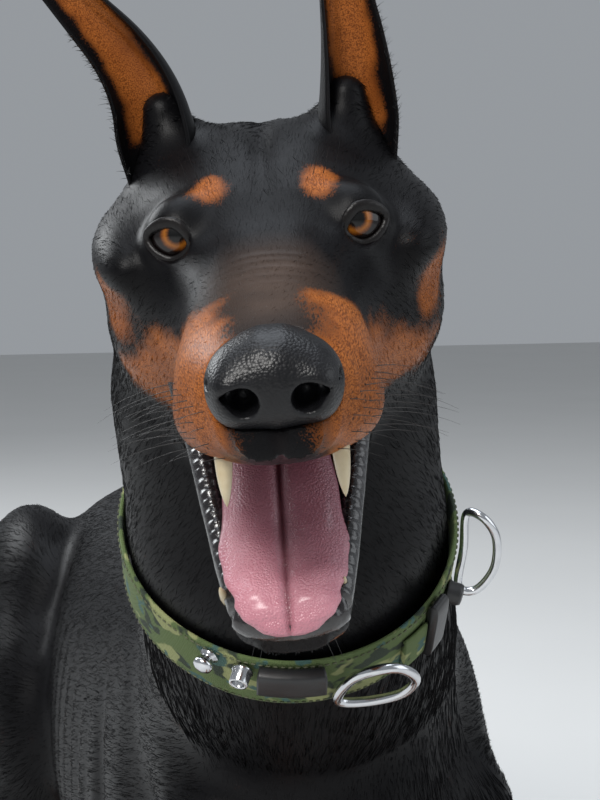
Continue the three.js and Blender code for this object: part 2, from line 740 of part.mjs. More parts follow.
// A round stud that stands on the band.
function standingStud(degrees, height, radius, length) {
  const foot = onCollar(degrees, height, faceLift + 0.4);
  return rod([foot, onCollar(degrees, height, faceLift + length)], radius, 14, false, 2);
}
const studHollow = rod([onCollar(-17, 12, faceLift + 4), onCollar(-17, 12, faceLift + 14)], 3, 12, false, 2);
addNode("collar_stud_outer", standingStud(-30, 14, 4.4, 9), 0xb9bcc0, 0.3, 0.9);
addNode("collar_stud_inner", without(standingStud(-17, 12, 4.8, 9), studHollow), 0xb9bcc0, 0.3, 0.9);
addNode("collar_fitting", standingStud(72, 4, 6, 8), 0x181818, 0.4);

function wireLoop(places, radius) {
  const points = places.map(([degrees, height, lift]) => onCollar(degrees, height, faceLift + lift));
  return rod(points, radius, 7, true, 17);
}
const frontLoop = [
  [17, -12, 4], [20, 8, 6], [26, 19, 10], [34, 18, 14],
  [39, 4, 17], [36, -10, 14], [26, -16, 7],
];
const sideLoop = [
  [96, 20, 4], [93, 22, 12], [90, 12, 19], [86, -4, 20],
  [82, -14, 13], [82, -12, 4], [89, 6, 3.6],
];
addNode("collar_ring", wireLoop(frontLoop, 2.5), 0xc3c5c8, 0.25, 0.95);
addNode("collar_d_ring", wireLoop(sideLoop, 2.2), 0xc3c5c8, 0.25, 0.95);

const bounds = new THREE.Box3().setFromObject(model);
const middle = bounds.getCenter(new THREE.Vector3());
model.children.forEach((mesh) => mesh.position.set(-middle.x, -middle.y, -bounds.min.z));

export default model;
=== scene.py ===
import math

import bmesh
import bpy
import numpy as np
from mathutils import Matrix, Vector


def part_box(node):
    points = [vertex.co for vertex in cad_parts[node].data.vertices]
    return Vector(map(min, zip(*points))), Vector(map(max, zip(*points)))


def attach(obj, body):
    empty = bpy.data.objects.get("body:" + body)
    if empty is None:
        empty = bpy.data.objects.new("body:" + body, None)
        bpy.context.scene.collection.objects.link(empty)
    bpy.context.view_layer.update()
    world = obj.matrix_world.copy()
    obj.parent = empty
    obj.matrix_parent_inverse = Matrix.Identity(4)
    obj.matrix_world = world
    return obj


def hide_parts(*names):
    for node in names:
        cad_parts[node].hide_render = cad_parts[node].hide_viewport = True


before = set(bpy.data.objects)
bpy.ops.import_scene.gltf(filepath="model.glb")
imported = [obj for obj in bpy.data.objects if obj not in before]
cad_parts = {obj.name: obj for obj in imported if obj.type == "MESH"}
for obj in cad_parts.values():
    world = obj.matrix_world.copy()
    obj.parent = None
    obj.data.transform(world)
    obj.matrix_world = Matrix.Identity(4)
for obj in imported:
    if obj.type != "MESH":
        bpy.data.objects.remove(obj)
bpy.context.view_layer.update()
print("frame loaded")


def turn(axis, degrees):
    return np.array(Matrix.Rotation(math.radians(degrees), 3, axis))


# The dog's own frame is in millimetres: nose to -Y, left to +X, floor at z = 0.
head = {
    "anchor": np.array([-98.0, -140.0, 555.0]),
    "middle": np.array([0.0, 140.0, 2.0]),  # between the eyes, in the head's frame
    "turn": turn("Z", -16.4) @ turn("X", 14.5) @ turn("Y", -5.2),
    "jawJoint": np.array([-3.0, 195.0, -45.0]),
    "jawTurn": turn("X", 29.5),
    "jawLift": np.array([0.0, -168.0, 4.0]),
}
eye = {
    "offset": 34.5, "radius": 12.5, "lid": 2.7, "across": 7.7, "high": 7.0, "corner": 2.4, "iris": 6.9,
    "cornea": 0.045, "corneaSpread": 0.66, "drop": 0.9,
}
ears = {
    "root": np.array([41.0, 196.0, 8.0]), "length": 138, "halfWidth": 18.5, "wall": 3.0, "bend": (0.22, 0.5),
    "leanOut": {1: 3, -1: 7}, "leanBack": {1: 6, -1: 4}, "twist": {1: 22, -1: 18},
    "slope": {1: -0.14, -1: 0.62},
}
coat = {"depth": 0.9, "headStep": 1.55, "headCoarse": 2.7, "bodyStep": 4.2}


def fromHead(points):
    return (np.asarray(points, float) - head["middle"]) @ head["turn"].T + head["anchor"]


def toHead(points):
    return (points - head["anchor"]) @ head["turn"] + head["middle"]


def fromJaw(points):
    return (np.asarray(points, float) + head["jawLift"]) @ head["jawTurn"].T + head["jawJoint"]


def toJaw(points):
    return (points - head["jawJoint"]) @ head["jawTurn"] - head["jawLift"]


def eyeCentre(side):
    return np.array([eye["offset"] * side, 146.0, 1.0])


shift = np.array(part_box("eye_left")).mean(axis=0) * 1000 - fromHead(eyeCentre(1))


def toFrame(points):
    return (np.asarray(points, float) + shift) * 0.001


# Rows: y, half width, top, widest level, bottom.
torsoRows = np.array([
    [-14, 18, 250, 232, 212], [2, 38, 282, 230, 172], [30, 58, 322, 226, 112],
    [70, 76, 360, 222, 64], [110, 92, 384, 216, 44], [150, 106, 396, 208, 37],
    [220, 110, 388, 200, 35], [300, 114, 376, 198, 38], [380, 110, 368, 202, 50],
    [450, 98, 361, 212, 74], [520, 88, 352, 218, 96], [600, 80, 328, 216, 108],
    [660, 70, 294, 208, 122], [700, 50, 258, 200, 148], [722, 22, 226, 195, 168],
], float)
headRows = np.array([
    [2, 15, -8, -24, -38], [8, 21, -3, -26, -44], [20, 28, -1, -30, -50],
    [40, 35, 0, -34, -55], [60, 37, 0, -36, -57], [85, 36, 1, -34, -57],
    [110, 38, 3, -32, -60], [128, 44, 8, -32, -64], [145, 55, 17, -34, -74],
    [165, 67, 25, -38, -88], [190, 73, 30, -40, -97], [218, 69, 30, -36, -94],
    [242, 57, 24, -28, -76], [264, 38, 13, -20, -52], [280, 14, 0, -14, -28],
], float)
jawRows = np.array([
    [0, 13, -4, -13, -21], [8, 22, 0, -14, -27], [30, 27, 1, -15, -30],
    [60, 32, 1, -16, -32], [95, 38, 3, -18, -37], [130, 45, 5, -20, -46],
    [158, 46, 8, -18, -48], [176, 28, 0, -16, -34],
], float)
neckPoints = np.array([
    [0, 100, 290], [-28, 40, 354], [-52, -16, 416], [-64, -34, 484], [-69, -42, 540],
], float)
neckRadii = [90, 78, 70, 68, 60]

# Forms on the head: centre, radii, height. A negative height is a hollow.
headForms = [
    ((25, 146, 19), (14, 11, 7), 1.8),  # brow
    ((21, 126, 4), (7, 9, 8), -0.9),  # inner corner of the eye
    ((46, 120, -16), (13, 15, 9), -1.6),  # under the eye
    ((58, 156, 16), (12, 22, 12), -2.4),  # temple
    ((22, 206, 29), (17, 38, 14), 2.6),  # temple muscle
    ((0, 206, 30), (4.5, 46, 14), -2.6),
    ((0, 142, 16), (6, 26, 10), -1.2),  # furrow of the forehead
    ((62, 206, -54), (20, 30, 26), 2.8),  # cheek muscle
    ((29, 42, -43), (11, 24, 11), 2.8),  # flew
    ((34, 86, -24), (9, 22, 9), -1.2),  # side of the bridge
    ((8, 1, -37), (12, 8, 8), 3.4),  # lip under the nose
    ((0, 0, -46), (1.5, 12, 14), -1.3),  # philtrum
    ((36, 62, -8), (8, 40, 5), -0.8),
]
bridgeWrinkles = [(103, 0.6), (96, 0.5), (88, 0.55), (79, 0.4), (70, 0.35)]  # y, depth
# Forms on the body, the same for both sides.
bodyForms = [
    ((70, 26, 205), (26, 26, 34), 5.0),  # point of the shoulder
    ((90, 130, 172), (20, 44, 40), 5.0),  # triceps
    ((106, 196, 190), (18, 13, 74), -5.0),  # behind the shoulder
    ((98, 458, 236), (26, 30, 60), -7.0),  # flank
    ((22, 480, 357), (12, 90, 10), 2.6),  # loin
    ((0, 380, 374), (7, 230, 12), -2.8),  # spine
    ((136, 520, 176), (22, 13, 66), -4.0),  # thigh
    ((30, 10, 214), (24, 26, 44), 7.0),  # breast muscle
    ((0, -10, 205), (7, 26, 56), -4.5),
    ((98, 178, 40), (14, 14, 14), 3.0),  # elbow
]


def rowAt(rows, y):
    y = np.clip(y, rows[0, 0], rows[-1, 0])
    low = np.clip(np.searchsorted(rows[:, 0], y, side="right") - 1, 0, len(rows) - 2)
    t = ((y - rows[low, 0]) / (rows[low + 1, 0] - rows[low, 0]))[:, None]
    a, b = rows[np.maximum(low - 1, 0)], rows[low]
    c, d = rows[low + 1], rows[np.minimum(low + 2, len(rows) - 1)]
    return (b * (2 * t**3 - 3 * t**2 + 1) + (c - a) / 2 * (t**3 - 2 * t**2 + t)
            + c * (3 * t**2 - 2 * t**3) + (d - b) / 2 * (t**3 - t**2))


# Each field is a distance to a surface, below zero inside.
def sections(p, rows, power=2.4):
    row = rowAt(rows, p[:, 1])
    rise = np.where(p[:, 2] > row[:, 3], row[:, 2] - row[:, 3], row[:, 3] - row[:, 4])
    off = p[:, 2] - row[:, 3]
    q = ((np.abs(p[:, 0]) / row[:, 1])**power + (np.abs(off) / rise)**power)**(1 / power)
    side = np.hypot(p[:, 0], off) * (1 - 1 / np.maximum(q, 1e-3))
    side = np.maximum(side, -np.minimum(row[:, 1], rise))
    return np.maximum(side, np.maximum(rows[0, 0] - p[:, 1], p[:, 1] - rows[-1, 0]))


def ball(p, centre, radii):
    off = (p - centre) / np.asarray(radii, float)
    q = np.linalg.norm(off, axis=1)
    return q * (q - 1) / np.maximum(np.linalg.norm(off / radii, axis=1), 1e-6)


def cone(p, start, end, startRadius, endRadius, flat=(1, 1, 1)):
    start, along = np.asarray(start, float), np.subtract(end, start).astype(float)
    s = np.clip((p - start) @ along / (along @ along), 0, 1)
    off = np.linalg.norm((p - start - s[:, None] * along) / flat, axis=1)
    return (off - (startRadius + (endRadius - startRadius) * s)) * min(flat)


def join(a, b, reach):
    mix = np.maximum(reach - np.abs(a - b), 0) / reach
    return np.minimum(a, b) - mix * mix * reach / 4


def carve(a, b, reach):
    return -join(-a, b, reach)


def swell(p, centre, radii, height):
    return height * np.exp(-(((p - centre) / radii)**2).sum(axis=1))


def ridge(p, start, end, radius, height):
    return height * np.exp(-(np.maximum(cone(p, start, end, 0, 0), 0) / radius)**2)


def mirrored(p):
    return np.column_stack([np.abs(p[:, 0]), p[:, 1], p[:, 2]])


def neckField(p):
    d = cone(p, neckPoints[0], neckPoints[1], neckRadii[0], neckRadii[1])
    for k in range(1, 4):
        d = join(d, cone(p, neckPoints[k], neckPoints[k + 1], neckRadii[k], neckRadii[k + 1]), 30)
    return d


lidTurns = {side: turn("Z", side * 17) @ turn("Y", side * -10) for side in (1, -1)}


def lidOpening(p, side):
    q = (p - eyeCentre(side)) @ lidTurns[side]
    out = q[:, 0] * side
    u = out / np.where(out > 0, eye["across"] + eye["corner"], eye["across"])
    v = (q[:, 2] + eye["drop"] * np.maximum(u, 0)**2) / eye["high"]
    almond = np.sqrt(u * u + (v / np.maximum(1 - 0.3 * u * u, 0.3))**2) - 1
    return np.maximum(almond * 7, q[:, 1] + 2)


def noseSolid(p, grow=0.0):
    half = mirrored(p)
    return join(ball(p, [0, 11, -15], [18, 17, 17]), ball(half, [13, 8, -17], [9, 12, 12]), 7) - grow


def jawOnly(jaw):
    lower = sections(jaw, jawRows)
    return carve(lower, cone(jaw, [0, 14, 3], [0, 150, 2], 16, 28, (1, 1, 0.66)), 4)


def headField(world):
    p = toHead(world)
    half = mirrored(p)
    d = sections(p, headRows)
    d = join(d, ball(half, [58, 178, -12], [16, 40, 16]), 16)
    for side in (1, -1):
        root = ears["root"] * [side, 1, 1]
        away = turn("Y", ears["leanOut"][side] * side) @ np.array([0, 6.0, 40.0])
        d = join(d, cone(p, root + [-3 * side, 10, 0], root + [-5 * side, 6, -8] + away, 15, 9), 18)
        d = join(d, np.linalg.norm(p - eyeCentre(side), axis=1) - (eye["radius"] + eye["lid"]), 6)
    for form in headForms:
        d = d - swell(half, *form)
    for y, depth in bridgeWrinkles:
        bend = p[:, 1] - y + 0.012 * p[:, 0]**2
        fade = np.exp(-(p[:, 0] / 17)**2) * np.clip((p[:, 2] + 16) / 8, 0, 1)
        d = d + depth * np.exp(-(bend / 1.7)**2) * fade
    hollow = cone(p, [0, 44, -56], [0, 118, -60], 19, 25, (1, 1, 0.8))
    d = carve(d, join(hollow, cone(p, [0, 118, -60], [0, 178, -68], 25, 19), 10), 3)
    d = join(d, jawOnly(toJaw(p)), 9)
    d = carve(d, cone(p, [0, 110, -78], [0, 182, -62], 22, 17, (1, 1, 0.9)), 4)
    for side in (1, -1):
        d = carve(d, lidOpening(p, side), 1.2)
    return d


def upperField(p):
    d = join(headField(p), neckField(p), 16)
    for side in (1, -1):
        cheek = fromHead([[58 * side, 214, -66]])[0]
        d = d - ridge(p, cheek, [74 * side - 8, 22, 236], 15, 3.5)
    throat = fromHead([[0, 168, -112]])[0]
    return d - ridge(p, throat, [-6, -16, 250], 13, 3.0)


limbs = {
    "upperArm": [([66, 40, 214], [92, 168, 74], 38, 29, (0.9, 1, 1))],
    "forearm": [([97, 176, 37], [93, 60, 33], 36, 29, (0.86, 1, 1)),
                ([93, 60, 33], [90, -46, 24], 29, 23, (1, 1, 1))],
    "shank": [([118, 462, 118], [130, 560, 84], 44, 34, (0.8, 1, 1)),
              ([130, 560, 84], [134, 648, 38], 34, 19, (1, 1, 1))],
}
paws = {"fore": ([90, -46, -1.2], 128, 2), "hind": ([134, 642, -1.2], 205, 4)}  # place, length, turn
toeSteps = (-1.5, -0.5, 0.5, 1.5)


def toeTip(step, length):
    return -length + (10 if abs(step) < 1 else 22)


def pawField(p, place, length, angle):
    q = (p - place) @ turn("Z", angle)
    knuckle = -length * 0.62
    d = cone(q, [0, 0, 22], [0, knuckle, 24], 21, 19, (1, 1, 0.95))
    d = join(d, ball(q, [0, knuckle - 6, 15], [25, 24, 14]), 10)
    for step in toeSteps:
        x, tip = step * 14, toeTip(step, length)
        toe = cone(q, [x * 0.75, knuckle + 6, 22], [x, tip + 22, 24], 10, 10.5)
        toe = join(toe, cone(q, [x, tip + 22, 24], [x * 1.02, tip, 12], 10.5, 9.6), 6)
        d = join(d, toe, 2.5)
    return d


def bodyField(p):
    half = mirrored(p)
    d = sections(p, torsoRows, 2.3)
    d = join(d, cone(half, [50, 138, 350], [64, 56, 236], 26, 36), 26)
    d = join(d, neckField(p), 34)
    d = join(d, cone(half, *limbs["upperArm"][0]), 22)
    fore = join(cone(half, *limbs["forearm"][0]), cone(half, *limbs["forearm"][1]), 10)
    d = join(d, join(fore, pawField(half, *paws["fore"]), 7), 12)
    thigh = join(ball(half, [96, 548, 212], [57, 122, 120]), ball(half, [112, 462, 172], [44, 66, 76]), 40)
    d = join(d, thigh, 24)
    shank = join(cone(half, *limbs["shank"][0]), cone(half, *limbs["shank"][1]), 12)
    d = join(d, join(shank, pawField(half, *paws["hind"]), 7), 12)
    d = join(d, cone(p, [0, 694, 252], [0, 746, 262], 19, 12), 14)
    for form in bodyForms:
        d = d - swell(half, *form)
    ribs = np.sin(p[:, 1] * 2 * math.pi / 25 + p[:, 2] * 0.02)
    d = d - ribs * swell(half, (112, 310, 190), (34, 110, 80), 0.9)
    return np.maximum(d, 0.4 - p[:, 2])


collar = {
    "middle": np.array([-49.0, -12.0, 397.0]), "tilt": 44, "width": 40, "thickness": 3.2,
    "innerLift": 0.5, "faceLift": 4.0, "stitchStep": 3.4, "stitchEdge": 3.0,
}
collarRise = math.radians(collar["tilt"])
collarAxis = turn("Z", -16.4) @ np.array([0, -math.cos(collarRise), math.sin(collarRise)])
collarSide = turn("Z", -16.4) @ np.array([1.0, 0, 0])
collarFront = np.cross(collarSide, collarAxis)


def gridAxis(low, high, fineLow, fineHigh, fine, coarse):
    places = [low]
    while places[-1] < high:
        places.append(places[-1] + (fine if fineLow <= places[-1] < fineHigh else coarse))
    return np.array(places)


# Grid values of a field. Blocks far from the surface keep the value at their middle.
def gridValues(field, axes, block=5):
    counts = [len(axis) for axis in axes]
    middles = [np.array([axis[k:k + block].mean() for k in range(0, len(axis), block)]) for axis in axes]
    reach = 2.2 * block * max(np.diff(axis).max() for axis in axes)
    coarse = field(np.stack(np.meshgrid(*middles, indexing="ij"), -1).reshape(-1, 3))
    coarse = coarse.reshape([len(middle) for middle in middles])
    values = coarse
    for k in range(3):
        values = np.repeat(values, block, axis=k)
    values = np.ascontiguousarray(values[:counts[0], :counts[1], :counts[2]])
    spots = np.argwhere(np.abs(values) < reach)
    for start in range(0, len(spots), 300000):
        part = spots[start:start + 300000]
        points = np.column_stack([axes[k][part[:, k]] for k in range(3)])
        values[tuple(part.T)] = field(points)
    return values


# A quad mesh on the zero level of a field.
def surfaceNet(field, axes):
    values = gridValues(field, axes)
    counts = values.shape
    inside = values < 0
    cut = [slice(0, -1), slice(1, None)]
    corners = [(i, j, k) for i in (0, 1) for j in (0, 1) for k in (0, 1)]
    number = sum(inside[cut[i], cut[j], cut[k]].astype(np.int8) for i, j, k in corners)
    mixed = (number > 0) & (number < 8)
    cells = np.argwhere(mixed)
    index = np.full(mixed.shape, -1, np.int64)
    index[mixed] = np.arange(len(cells))
    total, hits = np.zeros((len(cells), 3)), np.zeros(len(cells))
    for corner in corners:
        for axis in range(3):
            if corner[axis]:
                continue
            a = cells + corner
            b = a.copy()
            b[:, axis] += 1
            va, vb = values[tuple(a.T)], values[tuple(b.T)]
            crossing = (va < 0) != (vb < 0)
            t = np.where(crossing, va / np.where(crossing, va - vb, 1), 0)
            spot = np.tile(np.array(corner, float), (len(cells), 1))
            spot[:, axis] += t
            total += spot * crossing[:, None]
            hits += crossing
    spots = cells + total / hits[:, None]
    points = np.column_stack([np.interp(spots[:, k], np.arange(counts[k]), axes[k]) for k in range(3)])
    quads = []
    for axis in range(3):
        u, v = (axis + 1) % 3, (axis + 2) % 3
        body = [slice(1, -1)] * 3
        body[axis] = slice(0, -1)
        ahead = list(body)
        ahead[axis] = slice(1, None)
        a, b = inside[tuple(body)], inside[tuple(ahead)]
        places = np.argwhere(a != b)
        base = places + np.array([0 if k == axis else 1 for k in range(3)])
        side = a[tuple(places.T)]
        stepU, stepV = np.eye(3, dtype=int)[u], np.eye(3, dtype=int)[v]
        ring = [index[tuple((base - off).T)] for off in (0 * stepU, stepU, stepU + stepV, stepV)]
        quad = np.stack(ring, axis=1)
        quad[~side] = quad[~side][:, ::-1]
        quads.append(quad)
    return points, np.concatenate(quads)


# Moves points onto the field's surface and gives its normals there.
def settle(field, points, step, rounds=2):
    for _ in range(rounds):
        ends = 0.4 * np.eye(3)
        grad = np.stack([(field(points + off) - field(points - off)) / 0.8 for off in ends], axis=1)
        size = np.maximum(np.linalg.norm(grad, axis=1), 0.3)
        move = np.clip(field(points) / size, -step, step)
        points = points - grad / size[:, None] * move[:, None]
    return points, grad / np.maximum(np.linalg.norm(grad, axis=1), 1e-6)[:, None]


def fillMesh(name, points, faces):
    mesh = bpy.data.meshes.new(name)
    if isinstance(faces, list):
        mesh.from_pydata(toFrame(points).tolist(), [], faces)
    else:
        mesh.vertices.add(len(points))
        mesh.vertices.foreach_set("co", toFrame(points).ravel())
        mesh.loops.add(faces.size)
        mesh.loops.foreach_set("vertex_index", faces.ravel().astype(np.int32))
        mesh.polygons.add(len(faces))
        mesh.polygons.foreach_set("loop_start", np.arange(0, faces.size, faces.shape[1], dtype=np.int32))
    mesh.update(calc_edges=True)
    mesh.polygons.foreach_set("use_smooth", [True] * len(mesh.polygons))
    return mesh


def addPiece(name, mesh, material, replaced=()):
    piece = bpy.data.objects.new(name, mesh)
    bpy.context.collection.objects.link(piece)
    if material:
        mesh.materials.append(material)
    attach(piece, "root")
    if replaced:
        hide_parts(*replaced)
    return piece


def faceOut(mesh):
    work = bmesh.new()
    work.from_mesh(mesh)
    bmesh.ops.recalc_face_normals(work, faces=work.faces)
    work.to_mesh(mesh)
    work.free()
    return mesh


def loft(rings, closed=False):
    around, count = len(rings[0]), len(rings)
    faces = []
    for k in range(count if closed else count - 1):
        a, b = k * around, ((k + 1) % count) * around
        faces += [(a + m, a + (m + 1) % around, b + (m + 1) % around, b + m) for m in range(around)]
    if not closed:
        faces.append(tuple(range(around))[::-1])
        faces.append(tuple((count - 1) * around + m for m in range(around)))
    return np.concatenate(rings), faces


def gather(shapes):
    points, faces, base = [], [], 0
    for shapePoints, shapeFaces in shapes:
        points.append(shapePoints)
        faces += [tuple(v + base for v in face) for face in shapeFaces]
        base += len(shapePoints)
    return np.concatenate(points), faces


def addValues(mesh, name, values):
    values = np.asarray(values, float)
    kind, field = ("FLOAT", "value") if values.ndim == 1 else ("FLOAT_VECTOR", "vector")
    mesh.attributes.new(name, kind, "POINT").data.foreach_set(field, values.ravel())


def soft(distance, width):
    return np.clip(0.5 - distance / width, 0, 1)


# Rust, worn grey, bare lip skin and whisker pits, each 0 to 1, at points of the coat.
marks = {
    "brow": ((22, 146, 21), (8, 12, 8)), "cheek": ((67, 160, -32), (11, 17, 17)),
    "topLine": ([0, 50, 62, 75, 121, 145, 158, 185], [4, 1, -5, -16, -33, -44, -50, -62]),
    "bridge": ([0, 30, 57, 75], [12, 15.5, 15.5, 19]),
    "breast": ((44, 2, 222), (24, 60, 20)), "rump": ((0, 735, 212), (40, 34, 42)),
}


def markings(world):
    p = toHead(world)
    jaw = toJaw(p)
    half = mirrored(p)
    side = half[:, 0]
    body = mirrored(world)
    onHead = (p[:, 1] < 262) & (p[:, 2] > -150) & (world[:, 2] > 400)
    besideBridge = np.interp(p[:, 1], *marks["bridge"]) - side
    belowTopLine = p[:, 2] - np.interp(p[:, 1], *marks["topLine"])
    lowEdge = -82 + 0.5 * np.maximum(p[:, 1] - 150, 0)
    muzzle = np.maximum.reduce([besideBridge, belowTopLine, p[:, 1] - 176, lowEdge - p[:, 2]])
    onJaw = sections(jaw, jawRows) - 2.5
    jawStrip = np.maximum.reduce([np.abs(jaw[:, 2] + 7) - 3, jaw[:, 1] - 150, onJaw])
    chin = np.maximum.reduce([jaw[:, 2] + 19 + 0.05 * jaw[:, 1], jaw[:, 1] - 100, onJaw])
    rustHead = np.maximum.reduce([
        soft(ball(half, *marks["brow"]), 10), soft(muzzle, 22), soft(ball(half, *marks["cheek"]), 18),
        soft(jawStrip, 5) * 0.7, soft(chin, 8) * 0.8])
    fore = np.maximum(world[:, 1] - 62, world[:, 2] - 66)
    hind = np.maximum(np.maximum(440 - world[:, 1], world[:, 2] - 42), 90 - body[:, 0])
    toes = np.maximum(np.maximum(world[:, 1] - 660, world[:, 2] - 46), 420 - world[:, 1])
    rustBody = np.maximum.reduce([
        soft(ball(body, *marks["breast"]), 9), soft(fore, 14), soft(hind, 12),
        soft(toes, 12) * (body[:, 0] > 85), soft(ball(body, *marks["rump"]), 9)])
    muzzleFront = soft(np.maximum(side - 12, np.maximum(p[:, 1] - 17, p[:, 2] + 31)), 16)
    rust = np.maximum(rustHead * onHead * (1 - 0.5 * muzzleFront), rustBody * (world[:, 2] < 400))
    worn = soft(ball(half, (0, 66, 2), (20, 44, 15)), 26) * onHead
    inMouth = soft(cone(p, [0, 44, -56], [0, 178, -68], 19.5, 24, (1, 1, 0.9)), 2.5)
    gutter = soft(cone(jaw, [0, 14, 3], [0, 150, 2], 17, 29, (1, 1, 0.7)), 2.5)
    philtrum = soft(np.maximum(side - 2 - 0.1 * p[:, 1], np.maximum(p[:, 1] - 14, p[:, 2] + 30)), 4)
    lipEdge = soft(np.maximum(p[:, 2] + 57, p[:, 1] - 90), 4) * (p[:, 2] > -72) * (p[:, 1] > 14)
    bare = np.maximum.reduce([inMouth, gutter, philtrum, lipEdge]) * onHead
    for s in (1, -1):
        ring = np.linalg.norm(p - eyeCentre(s), axis=1) - (eye["radius"] + 3.4)
        bare = np.maximum(bare, soft(np.maximum(ring, lidOpening(p, s) - 2.2), 2.5))
    pits = soft(ball(half, (31, 28, -35), (14, 22, 15)), 6) * onHead
    return {"rust": rust, "worn": worn, "bare": bare, "pits": pits}


def dress(mesh, world):
    for name, values in markings(world).items():
        addValues(mesh, name, values)


# Shader node groups and materials.
def link(tree, source, socket):
    tree.links.new(source, socket)


def newGroup(name, inputs, outputs):
    group = bpy.data.node_groups.new(name, "ShaderNodeTree")
    for label, kind, value in inputs:
        socket = group.interface.new_socket(label, in_out="INPUT", socket_type=kind)
        socket.default_value = value
    for label, kind in outputs:
        group.interface.new_socket(label, in_out="OUTPUT", socket_type=kind)
    return group, group.nodes.new("NodeGroupInput"), group.nodes.new("NodeGroupOutput")


def addNode(tree, kind, **values):
    made = tree.nodes.new(kind)
    for key, value in values.items():
        if key in made.inputs:
            made.inputs[key].default_value = value
        else:
            setattr(made, key, value)
    return made


def useGroup(tree, group, **values):
    made = tree.nodes.new("ShaderNodeGroup")
    made.node_tree = group
    for key, value in values.items():
        made.inputs[key].default_value = value
    return made


def attribute(tree, name, output="Fac"):
    return addNode(tree, "ShaderNodeAttribute", attribute_name=name).outputs[output]


def calculate(tree, operation, a, b):
    made = addNode(tree, "ShaderNodeMath", operation=operation)
    for socket, value in zip(made.inputs, (a, b)):
        if isinstance(value, (int, float)):
            socket.default_value = value
        else:
            link(tree, value, socket)
    return made.outputs[0]


def blendColour(tree, factor, a, b):
    made = addNode(tree, "ShaderNodeMix", data_type="RGBA")
    for socket, value in ((made.inputs[0], factor), (made.inputs[6], a), (made.inputs[7], b)):
        if isinstance(value, tuple):
            socket.default_value = (*value, 1)
        elif isinstance(value, (int, float)):
            socket.default_value = value
        else:
            link(tree, value, socket)
    return made.outputs[2]


def ramp(tree, source, stops):
    made = tree.nodes.new("ShaderNodeValToRGB")
    elements = made.color_ramp.elements
    while len(elements) < len(stops):
        elements.new(0.5)
    for element, (place, colour) in zip(elements, stops):
        element.position = place
        element.color = (*colour, 1)
    link(tree, source, made.inputs["Fac"])
    return made.outputs["Color"]


def bumpInto(tree, height, strength, distance):
    made = addNode(tree, "ShaderNodeBump", Strength=strength, Distance=distance)
    link(tree, height, made.inputs["Height"])
    link(tree, made.outputs["Normal"], tree.nodes["Principled BSDF"].inputs["Normal"])


def newMaterial(name, **values):
    material = bpy.data.materials.new(name)
    material.use_nodes = True
    shader = material.node_tree.nodes["Principled BSDF"]
    for key, value in values.items():
        shader.inputs[key.replace("_", " ")].default_value = value
    return material, material.node_tree, shader


# Strands that lie along the Y axis of a turned frame.
def makeStrandGroup():
    group, start, end = newGroup(
        "flat_hair",
        [("Turn", "NodeSocketVector", (0, 0, 0)), ("Across", "NodeSocketFloat", 1900),
         ("Along", "NodeSocketFloat", 330)],
        [("Strand", "NodeSocketFloat"), ("Patch", "NodeSocketFloat")])
    place = addNode(group, "ShaderNodeTexCoord").outputs["Object"]
    turned = addNode(group, "ShaderNodeMapping")
    link(group, place, turned.inputs["Vector"])
    link(group, start.outputs["Turn"], turned.inputs["Rotation"])
    stretch = group.nodes.new("ShaderNodeCombineXYZ")
    for axis, source in (("X", "Across"), ("Y", "Along"), ("Z", "Across")):
        link(group, start.outputs[source], stretch.inputs[axis])
    scaled = addNode(group, "ShaderNodeMapping")
    link(group, turned.outputs["Vector"], scaled.inputs["Vector"])
    link(group, stretch.outputs["Vector"], scaled.inputs["Scale"])
    strand = addNode(group, "ShaderNodeTexNoise", Scale=1.0, Detail=2.0)
    link(group, scaled.outputs["Vector"], strand.inputs["Vector"])
    patch = addNode(group, "ShaderNodeTexNoise", Scale=48.0, Detail=4.0)
    link(group, place, patch.inputs["Vector"])
    link(group, strand.outputs["Fac"], end.inputs["Strand"])
    link(group, patch.outputs["Fac"], end.inputs["Patch"])
    return group


# Two colours mottled by a noise, which is also a height.
def makeMottleGroup():
    group, start, end = newGroup(
        "mottle",
        [("Size", "NodeSocketFloat", 100), ("Dark", "NodeSocketColor", (0, 0, 0, 1)),
         ("Light", "NodeSocketColor", (1, 1, 1, 1))],
        [("Colour", "NodeSocketColor"), ("Height", "NodeSocketFloat")])
    noise = addNode(group, "ShaderNodeTexNoise", Detail=5.0)
    link(group, addNode(group, "ShaderNodeTexCoord").outputs["Object"], noise.inputs["Vector"])
    link(group, start.outputs["Size"], noise.inputs["Scale"])
    colour = blendColour(group, noise.outputs["Fac"], start.outputs["Dark"], start.outputs["Light"])
    link(group, colour, end.inputs["Colour"])
    link(group, noise.outputs["Fac"], end.inputs["Height"])
    return group


# Pebbles and pits: cells whose edges or middles sink.
def makePebbleGroup():
    group, start, end = newGroup(
        "pebbles", [("Size", "NodeSocketFloat", 600)], [("Height", "NodeSocketFloat")])
    cells = addNode(group, "ShaderNodeTexVoronoi", feature="F1")
    link(group, addNode(group, "ShaderNodeTexCoord").outputs["Object"], cells.inputs["Vector"])
    link(group, start.outputs["Size"], cells.inputs["Scale"])
    link(group, cells.outputs["Distance"], end.inputs["Height"])
    return group


strandGroup, mottleGroup, pebbleGroup = makeStrandGroup(), makeMottleGroup(), makePebbleGroup()
coatColours = {
    "black": ((0.001, 0.001, 0.0012), (0.006, 0.0058, 0.0068)),
    "grey": ((0.028, 0.017, 0.012), (0.09, 0.058, 0.042)),
    "rust": ((0.2, 0.05, 0.008), (0.46, 0.15, 0.032)),
    "deepRust": (0.085, 0.02, 0.004),
    "lip": (0.004, 0.003, 0.0035),
}


